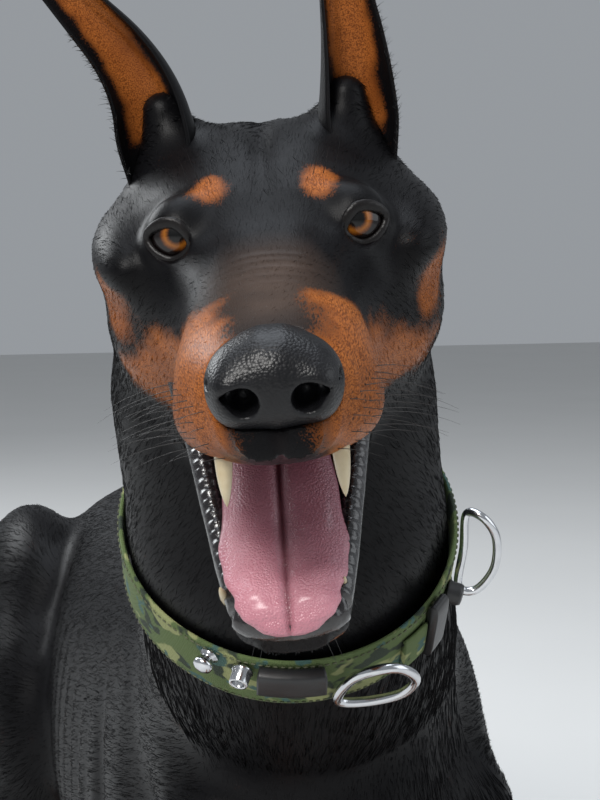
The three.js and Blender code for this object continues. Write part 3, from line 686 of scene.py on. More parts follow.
def coatMaterial(name, strandTurn, tuft=False):
    material, tree, shader = newMaterial(name, Roughness=0.4, Specular_IOR_Level=0.07 if tuft else 0.1)
    hair = useGroup(tree, strandGroup, Turn=strandTurn)
    strand, patch = hair.outputs["Strand"], hair.outputs["Patch"]
    ragged = calculate(tree, "MULTIPLY", calculate(tree, "SUBTRACT", strand, 0.5), 0.9)
    blotched = calculate(tree, "MULTIPLY", calculate(tree, "SUBTRACT", patch, 0.5), 1.1)
    marked = calculate(tree, "ADD", attribute(tree, "rust"), calculate(tree, "ADD", ragged, blotched))
    edge = ramp(tree, marked, [(0.34, (0, 0, 0)), (0.66, (1, 1, 1))])
    black = blendColour(tree, strand, *coatColours["black"])
    grey = blendColour(tree, patch, *coatColours["grey"])
    black = blendColour(tree, calculate(tree, "MULTIPLY", attribute(tree, "worn"), 0.8), black, grey)
    rust = blendColour(tree, patch, *coatColours["rust"])
    streak = ramp(tree, strand, [(0.38, (0, 0, 0)), (0.62, (0.8, 0.8, 0.8))])
    rust = blendColour(tree, streak, rust, coatColours["deepRust"])
    colour = blendColour(tree, edge, black, rust)
    pebble = useGroup(tree, pebbleGroup, Size=330.0).outputs["Height"]
    pit = calculate(tree, "MULTIPLY", attribute(tree, "pits"),
                    ramp(tree, pebble, [(0.12, (1, 1, 1)), (0.3, (0, 0, 0))]))
    colour = blendColour(tree, calculate(tree, "MULTIPLY", pit, 0.8), colour, (0.02, 0.008, 0.004))
    colour = blendColour(tree, attribute(tree, "bare"), colour, coatColours["lip"])
    link(tree, colour, shader.inputs["Base Color"])
    gloss = ramp(tree, attribute(tree, "bare"), [(0.0, (0.4,) * 3), (1.0, (0.3,) * 3)])
    link(tree, gloss, shader.inputs["Roughness"])
    if not tuft:
        height = calculate(tree, "ADD", strand, calculate(tree, "MULTIPLY", patch, 0.5))
        bumpInto(tree, calculate(tree, "SUBTRACT", height, pit), 0.4, 0.0003)
    return material


def mottledMaterial(name, look, **more):
    dark, light, size, bump = look
    material, tree, shader = newMaterial(name, **more)
    mottle = useGroup(tree, mottleGroup, Size=size, Dark=(*dark, 1), Light=(*light, 1))
    link(tree, mottle.outputs["Colour"], shader.inputs["Base Color"])
    if bump:
        bumpInto(tree, mottle.outputs["Height"], 0.5, bump)
    return material


headTurnAngles = tuple(Matrix(head["turn"].T.tolist()).to_euler())
coatHead = coatMaterial("coat_head", headTurnAngles)
coatBody = coatMaterial("coat_body", (0, 0, 0))
coatTufts = coatMaterial("coat_tufts", (0, 0, 0), True)

# Each look: dark colour, light colour, size of the mottling and depth of its bump.
looks = {
    "lip": ((0.003, 0.003, 0.0035), (0.016, 0.012, 0.013), 420, 0.0012),
    "lid": ((0.002, 0.002, 0.002), (0.008, 0.006, 0.006), 500, 0.0006),
    "tooth": ((0.4, 0.31, 0.17), (0.58, 0.5, 0.35), 160, 0),
    "claw": ((0.012, 0.011, 0.01), (0.05, 0.042, 0.036), 240, 0.0003),
    "whisker": ((0.006, 0.005, 0.005), (0.02, 0.017, 0.015), 300, 0),
    "plastic": ((0.008, 0.008, 0.009), (0.02, 0.02, 0.021), 260, 0.0003),
    "steel": ((0.5, 0.51, 0.53), (0.72, 0.73, 0.75), 180, 0.0001),
    "thread": ((0.05, 0.06, 0.03), (0.13, 0.14, 0.08), 900, 0.0002),
    "paper": ((0.62, 0.62, 0.61), (0.66, 0.66, 0.65), 3, 0),
}
lipSkin = mottledMaterial("lip_skin", looks["lip"], Roughness=0.22, Coat_Weight=0.5, Coat_Roughness=0.08)
lidSkin = mottledMaterial("lid_skin", looks["lid"], Roughness=0.38, Specular_IOR_Level=0.25)
toothIvory = mottledMaterial("tooth_ivory", looks["tooth"], Roughness=0.24)
clawHorn = mottledMaterial("claw_horn", looks["claw"], Roughness=0.35)
whiskerHair = mottledMaterial("whisker_hair", looks["whisker"], Roughness=0.4)
blackPlastic = mottledMaterial("black_plastic", looks["plastic"], Roughness=0.42)
steel = mottledMaterial("steel", looks["steel"], Roughness=0.2, Metallic=1.0)
thread = mottledMaterial("thread", looks["thread"], Roughness=0.8)


def makeTongueFlesh():
    material, tree, shader = newMaterial(
        "tongue_flesh", Roughness=0.33, Coat_Weight=0.35, Coat_Roughness=0.22)
    mottle = useGroup(tree, mottleGroup, Size=70.0, Dark=(0.38, 0.12, 0.16, 1), Light=(0.58, 0.26, 0.31, 1))
    # painted shade: depth darkens the tongue's root, deep in the mouth where shade falls, towards a dark
    # red-brown
    depth = attribute(tree, "depth")
    colour = blendColour(tree, depth, mottle.outputs["Colour"], (0.12, 0.035, 0.05))
    # painted shade: groove darkens the crease down the middle of the tongue
    colour = blendColour(tree, attribute(tree, "groove"), colour, (0.16, 0.035, 0.055))
    link(tree, colour, shader.inputs["Base Color"])
    papillae = useGroup(tree, pebbleGroup, Size=1150.0).outputs["Height"]
    bumpInto(tree, calculate(tree, "SUBTRACT", mottle.outputs["Height"], papillae), 0.5, 0.0009)
    return material


def makeNoseLeather():
    material, tree, shader = newMaterial("nose_leather", Roughness=0.36, Specular_IOR_Level=0.3)
    mottle = useGroup(
        tree, mottleGroup, Size=260.0, Dark=(0.002, 0.002, 0.0025, 1), Light=(0.008, 0.008, 0.0095, 1))
    link(tree, mottle.outputs["Colour"], shader.inputs["Base Color"])
    pebble = useGroup(tree, pebbleGroup, Size=980.0).outputs["Height"]
    bumpInto(tree, calculate(tree, "MULTIPLY", pebble, -1.0), 0.32, 0.0005)
    return material


def makeEyeAmber():
    material, tree, shader = newMaterial(
        "eye_amber", Roughness=0.4, Specular_IOR_Level=0.1, Coat_Weight=0.55, Coat_Roughness=0.03)
    streak = addNode(tree, "ShaderNodeTexNoise", Scale=11.0, Detail=4.0)
    link(tree, attribute(tree, "irisPlane", "Vector"), streak.inputs["Vector"])
    wobble = calculate(tree, "MULTIPLY", calculate(tree, "SUBTRACT", streak.outputs["Fac"], 0.5), 0.16)
    colour = ramp(tree, calculate(tree, "ADD", attribute(tree, "fromIris"), wobble), [
        (0.0, (0.001, 0.001, 0.001)), (0.38, (0.001, 0.001, 0.001)), (0.44, (0.05, 0.014, 0.002)),
        (0.62, (0.26, 0.085, 0.008)), (0.8, (0.12, 0.034, 0.004)), (0.92, (0.015, 0.005, 0.002)),
        (1.0, (0.004, 0.002, 0.002))])
    link(tree, colour, shader.inputs["Base Color"])
    return material


def makeCamo():
    material, tree, shader = newMaterial("webbing_camo", Roughness=0.85)
    place = addNode(tree, "ShaderNodeTexCoord").outputs["Object"]

    def blotches(size, offset, low, high):
        shifted = addNode(tree, "ShaderNodeMapping", Location=offset)
        link(tree, place, shifted.inputs["Vector"])
        noise = addNode(tree, "ShaderNodeTexNoise", Scale=size, Detail=2.5)
        link(tree, shifted.outputs["Vector"], noise.inputs["Vector"])
        return ramp(tree, noise.outputs["Fac"], [(low, (0, 0, 0)), (high, (1, 1, 1))])

    colour = blendColour(
        tree, blotches(60, (0, 0, 0), 0.43, 0.46), (0.02, 0.032, 0.018), (0.085, 0.125, 0.04))
    colour = blendColour(tree, blotches(48, (3, 1, 2), 0.55, 0.58), colour, (0.25, 0.27, 0.115))
    colour = blendColour(tree, blotches(80, (1, 4, 7), 0.6, 0.63), colour, (0.045, 0.105, 0.09))
    link(tree, colour, shader.inputs["Base Color"])
    weave = addNode(tree, "ShaderNodeTexWave", Scale=420.0, Distortion=0.6)
    link(tree, place, weave.inputs["Vector"])
    cross = addNode(tree, "ShaderNodeTexWave", Scale=420.0, Distortion=0.6, bands_direction="Z")
    link(tree, place, cross.inputs["Vector"])
    bumpInto(tree, calculate(tree, "MULTIPLY", weave.outputs["Fac"], cross.outputs["Fac"]), 0.6, 0.0006)
    return material


tongueFlesh, noseLeather, eyeAmber, camo = makeTongueFlesh(), makeNoseLeather(), makeEyeAmber(), makeCamo()
print("materials made")


# Skins: one over the head and its neck, one over the body. They meet under the collar.
def headSkinField(p):
    d = carve(upperField(p) + coat["depth"], noseSolid(toHead(p), -0.3), 0.6)
    return np.maximum(d, -8 - (p - collar["middle"]) @ collarAxis)


def bodySkinField(p):
    return np.maximum(bodyField(p) + coat["depth"], (p - collar["middle"]) @ collarAxis - 8)


fine, coarse, bodyStep = coat["headStep"], coat["headCoarse"], coat["bodyStep"]
headAxes = [gridAxis(-192, 44, -176, -14, fine, coarse), gridAxis(-296, 84, -296, -96, fine, coarse),
            gridAxis(330, 626, 436, 584, fine, coarse)]
headPoints, headQuads = surfaceNet(headSkinField, headAxes)
headPoints, headNormals = settle(headSkinField, headPoints, 1.0)
headSkin = fillMesh("skin_head", headPoints, headQuads)
dress(headSkin, headPoints)
headPiece = addPiece("skin_head", headSkin, coatHead, ("head", "lower_jaw"))
print("head skin", len(headQuads))

bodyAxes = [np.arange(-190, 192, bodyStep), np.arange(-196, 766, bodyStep), np.arange(-4, 478, bodyStep)]
bodyPoints, bodyQuads = surfaceNet(bodySkinField, bodyAxes)
bodyPoints, bodyNormals = settle(bodySkinField, bodyPoints, 2.4)
bodySkin = fillMesh("skin_body", bodyPoints, bodyQuads)
dress(bodySkin, bodyPoints)
fleshNodes = ["neck", "torso", "tail"]
for part in ("upper_arm", "forearm", "fore_paw", "thigh", "shank", "hind_paw"):
    fleshNodes += [f"{part}_left", f"{part}_right"]
bodyPiece = addPiece("skin_body", bodySkin, coatBody, fleshNodes)
print("body skin", len(bodyQuads))


# Ears: crescent sections that narrow toward the tip, with a ridged inner face.
def earPose(side, t):
    bendStart, bendEnd = ears["bend"]
    slope, span = ears["slope"][side], bendEnd - bendStart
    bent = min(max(t - bendStart, 0), span)
    aside = slope * bent**2 / (2 * span) + slope * max(t - bendEnd, 0)
    root = turn("Y", ears["leanOut"][side] * side) @ turn("X", -ears["leanBack"][side])
    middle = root @ np.array([aside * ears["length"] * side, 0, t * ears["length"]])
    tilt = turn("Y", math.degrees(math.atan(slope * bent / span)) * side)
    twist = turn("Z", ears["twist"][side] * side)
    return root @ (tilt @ twist), ears["root"] * [side, 1, 1] + middle


def earSection(side, t, across):
    pinch = 0.8 + 0.2 * min(t / 0.2, 1)**2 * (3 - 2 * min(t / 0.2, 1))
    width = ears["halfWidth"] * pinch * (1 - t)**0.72 + 1.2
    sweep = math.radians(118 - 56 * t)
    radius = width / math.sin(min(sweep, math.pi / 2))
    angle = across * sweep
    wall = ears["wall"] * (1 - 0.55 * t) * (1 - 0.55 * np.abs(across)**6)
    firstFold = 0.9 * np.exp(-((across * side + 0.42 - 0.5 * t) / 0.12)**2) * (1 - t)
    secondFold = 0.5 * np.exp(-((across - 0.2) / 0.1)**2) * (1 - t)
    return angle, np.full_like(angle, radius), radius - wall - (firstFold + secondFold)


def makeEar(name, side, steps=64, arcSteps=30):
    rings, rust = [], []
    across = np.linspace(-1, 1, arcSteps + 1)
    for t in np.linspace(0, 1, steps):
        angle, outside, inside = earSection(side, t, across)
        frameTurn, place = earPose(side, t)
        rows = []
        for radius, line in ((outside, angle), (inside[::-1], angle[::-1])):
            rows.append(np.column_stack([np.sin(line) * radius, np.cos(line) * radius, 0 * line]))
        rings.append(np.concatenate(rows) @ frameTurn.T + place)
        lateral = across * side
        stripe = np.exp(-((lateral - 0.52 + 0.52 * min(t * 1.7, 1)) / (0.28 + 0.5 * min(t * 1.6, 1)))**4)
        stripe = stripe * np.clip((t - 0.1) / 0.08, 0, 1) * np.clip((0.96 - np.abs(across)) / 0.1, 0, 1)
        rust.append(np.concatenate([0 * across, stripe[::-1] * 0.86]))
    points, faces = loft(rings)
    mesh = faceOut(fillMesh(name, fromHead(points), faces))
    addValues(mesh, "rust", np.concatenate(rust))
    for value in ("worn", "bare", "pits"):
        addValues(mesh, value, np.zeros(len(points)))
    return mesh


for sideName, side in (("left", 1), ("right", -1)):
    earName = f"ear_skin_{sideName}"
    addPiece(earName, makeEar(earName, side), coatHead, (f"ear_{sideName}",))


# Eyes: a ball with a raised cornea, and the dark rim of the lids around it.
def makeEyeball(name, side):
    centre = fromHead(eyeCentre(side))
    gaze = np.array([-0.29, -0.955, -0.015]) + 0.05 * side * np.array([0.95, -0.3, 0])
    gaze /= np.linalg.norm(gaze)
    across = np.cross(gaze, [0, 0, 1])
    across /= np.linalg.norm(across)
    rise = np.cross(across, gaze)
    irisPolar = math.asin(eye["iris"] / eye["radius"])
    rings, plane, away = [], [], []
    for polar in np.linspace(0.015, math.pi - 0.015, 64):
        angle = np.linspace(0, 2 * math.pi, 72, endpoint=False)
        bulge = eye["radius"] * (1 + eye["cornea"] * max(0.0, 1 - (polar / eye["corneaSpread"])**2)) - 0.15
        out = np.cos(angle)[:, None] * across + np.sin(angle)[:, None] * rise
        rings.append(centre + bulge * (math.sin(polar) * out + math.cos(polar) * gaze))
        plane.append(np.column_stack([np.cos(angle), np.sin(angle), np.full(72, polar * 0.4)]))
        away.append(np.full(72, polar / (irisPolar * 1.08)))
    points, faces = loft(rings)
    mesh = faceOut(fillMesh(name, points, faces))
    addValues(mesh, "irisPlane", np.concatenate(plane))
    addValues(mesh, "fromIris", np.concatenate(away))
    return mesh


def makeLidRim(name, side):
    rings = []
    for angle in np.linspace(0, 2 * math.pi, 96, endpoint=False):
        u, v = math.cos(angle), math.sin(angle)
        wide = eye["across"] + (eye["corner"] if u > 0 else 0)
        x = u * wide * side
        z = v * (1 - 0.3 * u * u) * eye["high"] - eye["drop"] * max(u, 0)**2
        out = np.array([x, 0, z]) / math.hypot(x, z)
        depth = -math.sqrt(max((eye["radius"] + 0.9)**2 - x * x - z * z, 6))
        thick = 1.7 + 0.7 * max(v, 0)
        loop = []
        for m in np.linspace(0, 2 * math.pi, 12, endpoint=False):
            aside = out * (math.cos(m) * thick + 0.5)
            loop.append(np.array([x, depth, z]) + aside + np.array([0, math.sin(m) * 1.3, 0]))
        rings.append(np.array(loop) @ lidTurns[side].T + eyeCentre(side))
    points, faces = loft(rings, closed=True)
    return faceOut(fillMesh(name, fromHead(points), faces))


for sideName, side in (("left", 1), ("right", -1)):
    ballName, rimName = f"eyeball_{sideName}", f"lid_rim_{sideName}"
    addPiece(ballName, makeEyeball(ballName, side), eyeAmber, (f"eye_{sideName}",))
    addPiece(rimName, makeLidRim(rimName, side), lidSkin)
print("ears and eyes made")


# Nose leather with comma nostrils and the groove between them.
def noseField(world):
    p = toHead(world)
    half = mirrored(p)
    d = noseSolid(p)
    d = d - swell(half, (16, -4, -12), (6, 8, 5), 1.6) + swell(half, (0, 8, 2), (3, 16, 5), 0.5)
    comma = cone(half, [13, -4, -16.5], [21, 5, -13], 2.6, 1.5)
    d = carve(d, join(ball(half, [10, -5, -18], [4.9, 12, 5.2]), comma, 3), 1.6)
    return carve(d, cone(p, [0, -9, -40], [0, -7, -14], 1.0, 0.5), 1.2)


nose = {"middle": fromHead([0, 10, -16]), "reach": 30, "step": 0.8}
noseAxes = [np.arange(place - nose["reach"], place + nose["reach"], nose["step"]) for place in nose["middle"]]
nosePoints, noseQuads = surfaceNet(noseField, noseAxes)
nosePoints, _ = settle(noseField, nosePoints, 0.5)
addPiece("nose_pad", fillMesh("nose_pad", nosePoints, noseQuads), noseLeather, ("nose",))

# Tongue rows: y, height, half width and half thickness.
tongue = {
    "rows": np.array([
        [170, -52, 16, 6], [140, -66, 19, 7], [105, -86, 22, 7], [78, -101, 23.5, 6.2],
        [62, -110, 24, 5.4], [52, -115, 19.8, 4.8], [48, -119.5, 17.5, 4.4], [46.5, -124, 13, 3.6],
    ], float),
    "aside": -3.5, "groove": 0.62, "steps": 110, "around": 72,
}


def makeTongue():
    t = np.linspace(0, 1, tongue["steps"])
    at = np.linspace(0, 1, len(tongue["rows"]))
    y, z, half, rise = (np.interp(t, at, tongue["rows"][:, k]) for k in range(4))
    for values in (y, z, half, rise):
        for _ in range(12):
            values[1:-1] = (values[:-2] + 2 * values[1:-1] + values[2:]) / 4
    path = np.column_stack([np.full_like(t, tongue["aside"]), y, z])
    ahead = np.gradient(path, axis=0)
    ahead /= np.linalg.norm(ahead, axis=1)[:, None]
    rings, groove, depth = [], [], []
    angle = np.linspace(0, 2 * math.pi, tongue["around"], endpoint=False)
    across = np.cos(angle)
    for k in range(len(t)):
        up = np.array([0, ahead[k, 2], -ahead[k, 1]])
        line = np.where(np.sin(angle) > 0, np.exp(-(across / 0.07)**2), 0)
        cup = np.where(np.sin(angle) > 0, 0.3 * np.exp(-(across / 0.45)**2), 0)
        swells = 0.05 * np.sin(t[k] * 41 + across * 2.5) + 0.04 * np.sin(t[k] * 23 - across * 6)
        lift = np.sin(angle) * rise[k] * (1 - tongue["groove"] * line - cup + swells)
        wide = half[k] * (1 + 0.03 * math.sin(t[k] * 17) + 0.02 * math.sin(t[k] * 43))
        rings.append(path[k] + np.outer(across * wide, [1, 0, 0]) + np.outer(lift, up))
        # groove also carries painted shade into the colour along the crease
        groove.append(line * 0.75)
        # depth: painted shade, 1 at the root of the tongue, fading to 0 partway towards the tip
        depth.append(np.full(len(angle), np.clip(1.25 - t[k] * 1.9, 0, 1)))
    for size, reach in ((0.8, 2.0), (0.45, 3.4)):
        rings.append(path[-1] + ahead[-1] * reach + (rings[len(t) - 1] - path[-1]) * size)
        groove.append(groove[-1] * 0.5)
        depth.append(depth[-1])
    points, faces = loft(rings)
    mesh = faceOut(fillMesh("tongue_skin", fromHead(points), faces))
    addValues(mesh, "groove", np.concatenate(groove))
    addValues(mesh, "depth", np.concatenate(depth))
    return mesh


addPiece("tongue_skin", makeTongue(), tongueFlesh, ("tongue",))

# The lower lip: a wet black roll along the rim of the jaw.
lip = {
    "back": 146, "inset": 4.4, "thick": 4.9, "crenulation": 1.9, "sidePoints": 110, "frontPoints": 30,
    "beadsFrom": 22, "beadsTo": 112,
}


def lipPath():
    back = np.linspace(lip["back"], 9, lip["sidePoints"])
    row = rowAt(jawRows, back)
    sideLine = np.column_stack([row[:, 1] - lip["inset"], back, row[:, 2] - 2.2])
    angle = np.linspace(0.15, math.pi - 0.15, lip["frontPoints"])
    front = np.column_stack([18.6 * np.cos(angle), 9 - 6.5 * np.sin(angle), np.full_like(angle, -4.2)])
    return np.concatenate([sideLine, front, sideLine[::-1] * [-1, 1, 1]])


def makeLip():
    path = lipPath()
    ahead = np.gradient(path, axis=0)
    ahead /= np.linalg.norm(ahead, axis=1)[:, None]
    side = np.cross(ahead, [0, 0, 1])
    angle = np.linspace(0, 2 * math.pi, 20, endpoint=False)
    run = np.concatenate([[0], np.cumsum(np.linalg.norm(np.diff(path, axis=0), axis=1))])
    rings = []
    for k in range(len(path)):
        fade = math.sin(math.pi * min(run[k], run[-1] - run[k], 30) / 60)
        crest = lip["crenulation"] * fade * max(0, math.sin(run[k] * 1.25 + 0.6 * math.sin(run[k] * 0.4)))
        thick = lip["thick"] * (0.45 + 0.55 * fade)
        lift = np.sin(angle) * (thick * 1.15 + crest)
        rings.append(path[k] + np.outer(np.cos(angle) * thick, side[k]) + np.outer(lift, [0, 0, 1]))
    points, faces = loft(rings)
    return faceOut(fillMesh("lower_lip", fromHead(fromJaw(points)), faces))


addPiece("lower_lip", makeLip(), lipSkin)


def toothShape(root, tip, radius, inJaw=False):
    root, tip = (fromJaw(spot) if inJaw else np.array(spot, float) for spot in (root, tip))
    rings = []
    for s in np.linspace(0, 1, 14):
        centre = root + (tip - root) * s + np.array([0, -radius * 1.4 * s * (1 - s), 0])
        size = radius * (1 - s**2.2)**0.8 + 0.15
        angle = np.linspace(0, 2 * math.pi, 16, endpoint=False)
        rings.append(centre + np.column_stack([np.cos(angle) * size * 0.8, np.sin(angle) * size, 0 * angle]))
    return loft(rings)


canines = {"upper": 3.8, "lower": 2.8}  # radius at the root
teeth = []
for side in (1, -1):
    teeth.append(toothShape([19.5 * side, 26, -42], [20 * side, 23, -64], canines["upper"]))
    teeth.append(toothShape([21 * side - 2, 19, -10], [23 * side - 2, 15, 7], canines["lower"], True))
toothPoints, toothFaces = gather(teeth)
addPiece("teeth", faceOut(fillMesh("teeth", fromHead(toothPoints), toothFaces)), toothIvory)
print("nose, tongue, lips and teeth made")

claws = {"radius": 3.7, "reach": 15, "spacing": 14.3}


def clawShape(step, tip):
    rings = []
    for s in np.linspace(0, 1, 10):
        ahead, height = tip - 2 - claws["reach"] * s, 15.5 - 4 * s - 6 * s * s
        size = claws["radius"] * (1 - s**1.8)**0.8 + 0.2
        a = np.linspace(0, 2 * math.pi, 14, endpoint=False)
        outline = np.column_stack([np.cos(a) * 0.8, np.sin(a) * 0.3, np.sin(a)])
        rings.append(np.array([step * claws["spacing"], ahead, height]) + outline * size)
    return loft(rings)


clawShapes = []
for place, length, angle in paws.values():
    for side in (1, -1):
        for step in toeSteps:
            points, faces = clawShape(step, toeTip(step, length))
            clawShapes.append(((points @ turn("Z", angle).T + place) * [side, 1, 1], faces))
clawPoints, clawFaces = gather(clawShapes)
addPiece("claws", faceOut(fillMesh("claws", clawPoints, clawFaces)), clawHorn)
print("claws made")


# Collar: places on it are degrees from the throat to the dog's left, height up the neck and lift.
def reachOut(origin, direction):
    low, high = np.full(len(direction), 20.0), np.full(len(direction), 200.0)
    for _ in range(18):
        middle = (low + high) / 2
        inside = neckField(origin + direction * middle[:, None]) < 0
        low, high = np.where(inside, middle, low), np.where(inside, high, middle)
    return low


def onCollar(places):
    degrees, height, lift = np.asarray(places, float).T
    angle = np.radians(degrees)
    direction = np.outer(np.cos(angle), collarFront) + np.outer(np.sin(angle), collarSide)
    reach = np.max([reachOut(collar["middle"] + rise * collarAxis, direction)
                    for rise in (-14, 0, 14)], axis=0)
    return collar["middle"] + np.outer(height, collarAxis) + direction * (reach + lift)[:, None]


# A strap on the collar with rounded edges. Full circles close on themselves.
def makeStrap(name, start, end, height, width, lift, thick, steps):
    full = end - start >= 360
    corners = []
    for m in np.linspace(0, 2 * math.pi, 28, endpoint=False):
        wide = math.copysign(abs(math.cos(m))**0.35, math.cos(m))
        high = math.copysign(abs(math.sin(m))**0.7, math.sin(m))
        corners.append((wide * width / 2, lift + thick / 2 + high * thick / 2))
    degrees = np.linspace(start, end, steps, endpoint=not full)
    rings = [onCollar([(degree, height + up, out) for up, out in corners]) for degree in degrees]
    points, faces = loft(rings, closed=full)
    return faceOut(fillMesh(name, points, faces))


faceLift = collar["faceLift"]
band = makeStrap("band", 0, 360, 0, collar["width"], collar["innerLift"], collar["thickness"], 200)
addPiece("collar_webbing", band, camo, ("collar_band",))
bar = makeStrap("bar", -11, 12, 10, 18, faceLift, 8, 30)
addPiece("collar_bar", bar, blackPlastic, ("collar_handle",))
slide = makeStrap("slide", 56, 63, 0, 44, faceLift, 6, 12)
addPiece("collar_slide", slide, blackPlastic, ("collar_keeper",))
strapEnd = makeStrap("end", 44, 55, -4, 28, faceLift, 2.6, 16)
addPiece("collar_end", strapEnd, camo, ("collar_strap_tail",))


def smoothLoop(places, count):
    spots = onCollar([(degrees, height, faceLift + lift) for degrees, height, lift in places])
    t = np.linspace(0, len(spots), count, endpoint=False)
    k = t.astype(int)
    s = (t - k)[:, None]
    a, b, c, d = (spots[(k + off) % len(spots)] for off in (-1, 0, 1, 2))
    return b + (c - a) / 2 * s + (2 * a - 5 * b + 4 * c - d) / 2 * s**2 + (3 * b - a - 3 * c + d) / 2 * s**3


def makeWire(name, path, radius, around=16):
    ahead = np.roll(path, -1, axis=0) - np.roll(path, 1, axis=0)
    ahead /= np.linalg.norm(ahead, axis=1)[:, None]
    middle = path.mean(axis=0)
    rings = []
    for k in range(len(path)):
        out = path[k] - middle
        out -= ahead[k] * (out @ ahead[k])
        out /= np.linalg.norm(out)
        up = np.cross(ahead[k], out)
        m = np.linspace(0, 2 * math.pi, around, endpoint=False)
        rings.append(path[k] + radius * (np.outer(np.cos(m), out) + np.outer(np.sin(m), up)))
    points, faces = loft(rings, closed=True)
    return faceOut(fillMesh(name, points, faces))


# Each ring: places that its wire passes through, the wire's radius and the node that it replaces.
wireRings = {
    "front_ring": ([(17, -12, 4), (20, 8, 6), (26, 19, 10), (34, 18, 14), (39, 4, 17), (36, -10, 14),
                    (26, -16, 7)], 2.5, "collar_ring"),
    "side_ring": ([(96, 20, 4), (93, 22, 12), (90, 12, 19), (86, -4, 20), (82, -14, 13), (82, -12, 4),
                   (89, 6, 3.6)], 2.2, "collar_d_ring"),
}
for name, (places, radius, replaced) in wireRings.items():
    addPiece(name, makeWire(name, smoothLoop(places, 120), radius), steel, (replaced,))


# A turned piece standing on the collar: rows of radius and height.
def makeTurned(name, degrees, height, rows):
    foot, top = onCollar([(degrees, height, faceLift), (degrees, height, faceLift + 10)])
    axis = (top - foot) / np.linalg.norm(top - foot)
    side = np.cross(axis, [0, 0, 1])
    side /= np.linalg.norm(side)
    m = np.linspace(0, 2 * math.pi, 32, endpoint=False)
    out = np.outer(np.cos(m), side) + np.outer(np.sin(m), np.cross(axis, side))
    points, faces = loft([foot + axis * lift + out * radius for radius, lift in rows])
    return faceOut(fillMesh(name, points, faces))


turnedPieces = {
    "collar_knob": (-30, 14, [(4.6, 0.4), (4.8, 1.2), (3.2, 2.2), (3.2, 3.4), (4.4, 4.6), (4.9, 6.2),
                              (4.4, 7.8), (2.8, 8.9), (0.2, 9.3)], steel, "steel", "collar_stud_outer"),
    "collar_socket": (-17, 12, [(4.8, 0.4), (5.2, 1.4), (5.2, 2.6), (4.5, 3.2), (4.5, 8.4), (4.2, 9.0),
                                (3.2, 9.0), (3.0, 8.6), (3.0, 4.4), (0.1, 4.2)],
                      steel, "steel", "collar_stud_inner"),
    "collar_lock": (72, 4, [(6.0, 0.4), (6.2, 1.2), (5.6, 2.0), (5.4, 6.6), (4.8, 7.8), (3.0, 8.2),
                            (2.6, 7.4), (0.1, 7.2)], blackPlastic, "black_plastic", "collar_fitting"),
}
for name, (degrees, height, rows, material, slot, replaced) in turnedPieces.items():
    addPiece(name, makeTurned(name, degrees, height, rows), material, (replaced,))
print("collar made")


# Geometry Nodes: what follows a path.
def newTree(name, inputs):
    tree = bpy.data.node_groups.new(name, "GeometryNodeTree")
    tree.interface.new_socket("Geometry", in_out="INPUT", socket_type="NodeSocketGeometry")
    names = {}
    for label, kind, value in inputs:
        socket = tree.interface.new_socket(label, in_out="INPUT", socket_type=kind)
        socket.default_value = value
        names[label] = socket.identifier
    tree.interface.new_socket("Geometry", in_out="OUTPUT", socket_type="NodeSocketGeometry")
    return tree, tree.nodes.new("NodeGroupInput"), tree.nodes.new("NodeGroupOutput"), names


def endTree(tree, source, end, material):
    real = tree.nodes.new("GeometryNodeRealizeInstances")
    dressed = addNode(tree, "GeometryNodeSetMaterial", Material=material)
    link(tree, source, real.inputs["Geometry"])
    link(tree, real.outputs["Geometry"], dressed.inputs["Geometry"])
    link(tree, dressed.outputs["Geometry"], end.inputs["Geometry"])


# Tapered hairs along the edges of a mesh, as thick as their points say.
def hairTree(material):
    tree, start, end, names = newTree("hairs_on_paths", [("Thickness", "NodeSocketFloat", 0.0002)])
    curve = tree.nodes.new("GeometryNodeMeshToCurve")
    profile = addNode(tree, "GeometryNodeCurvePrimitiveCircle", Resolution=4)
    swept = tree.nodes.new("GeometryNodeCurveToMesh")
    swept.inputs["Fill Caps"].default_value = True
    thin = addNode(tree, "GeometryNodeInputNamedAttribute", data_type="FLOAT", Name="thin")
    link(tree, start.outputs["Geometry"], curve.inputs["Mesh"])
    link(tree, start.outputs["Thickness"], profile.inputs["Radius"])
    link(tree, curve.outputs["Curve"], swept.inputs["Curve"])
    link(tree, profile.outputs["Curve"], swept.inputs["Profile Curve"])
    link(tree, thin.outputs["Attribute"], swept.inputs["Scale"])
    endTree(tree, swept.outputs["Mesh"], end, material)
    return tree, names


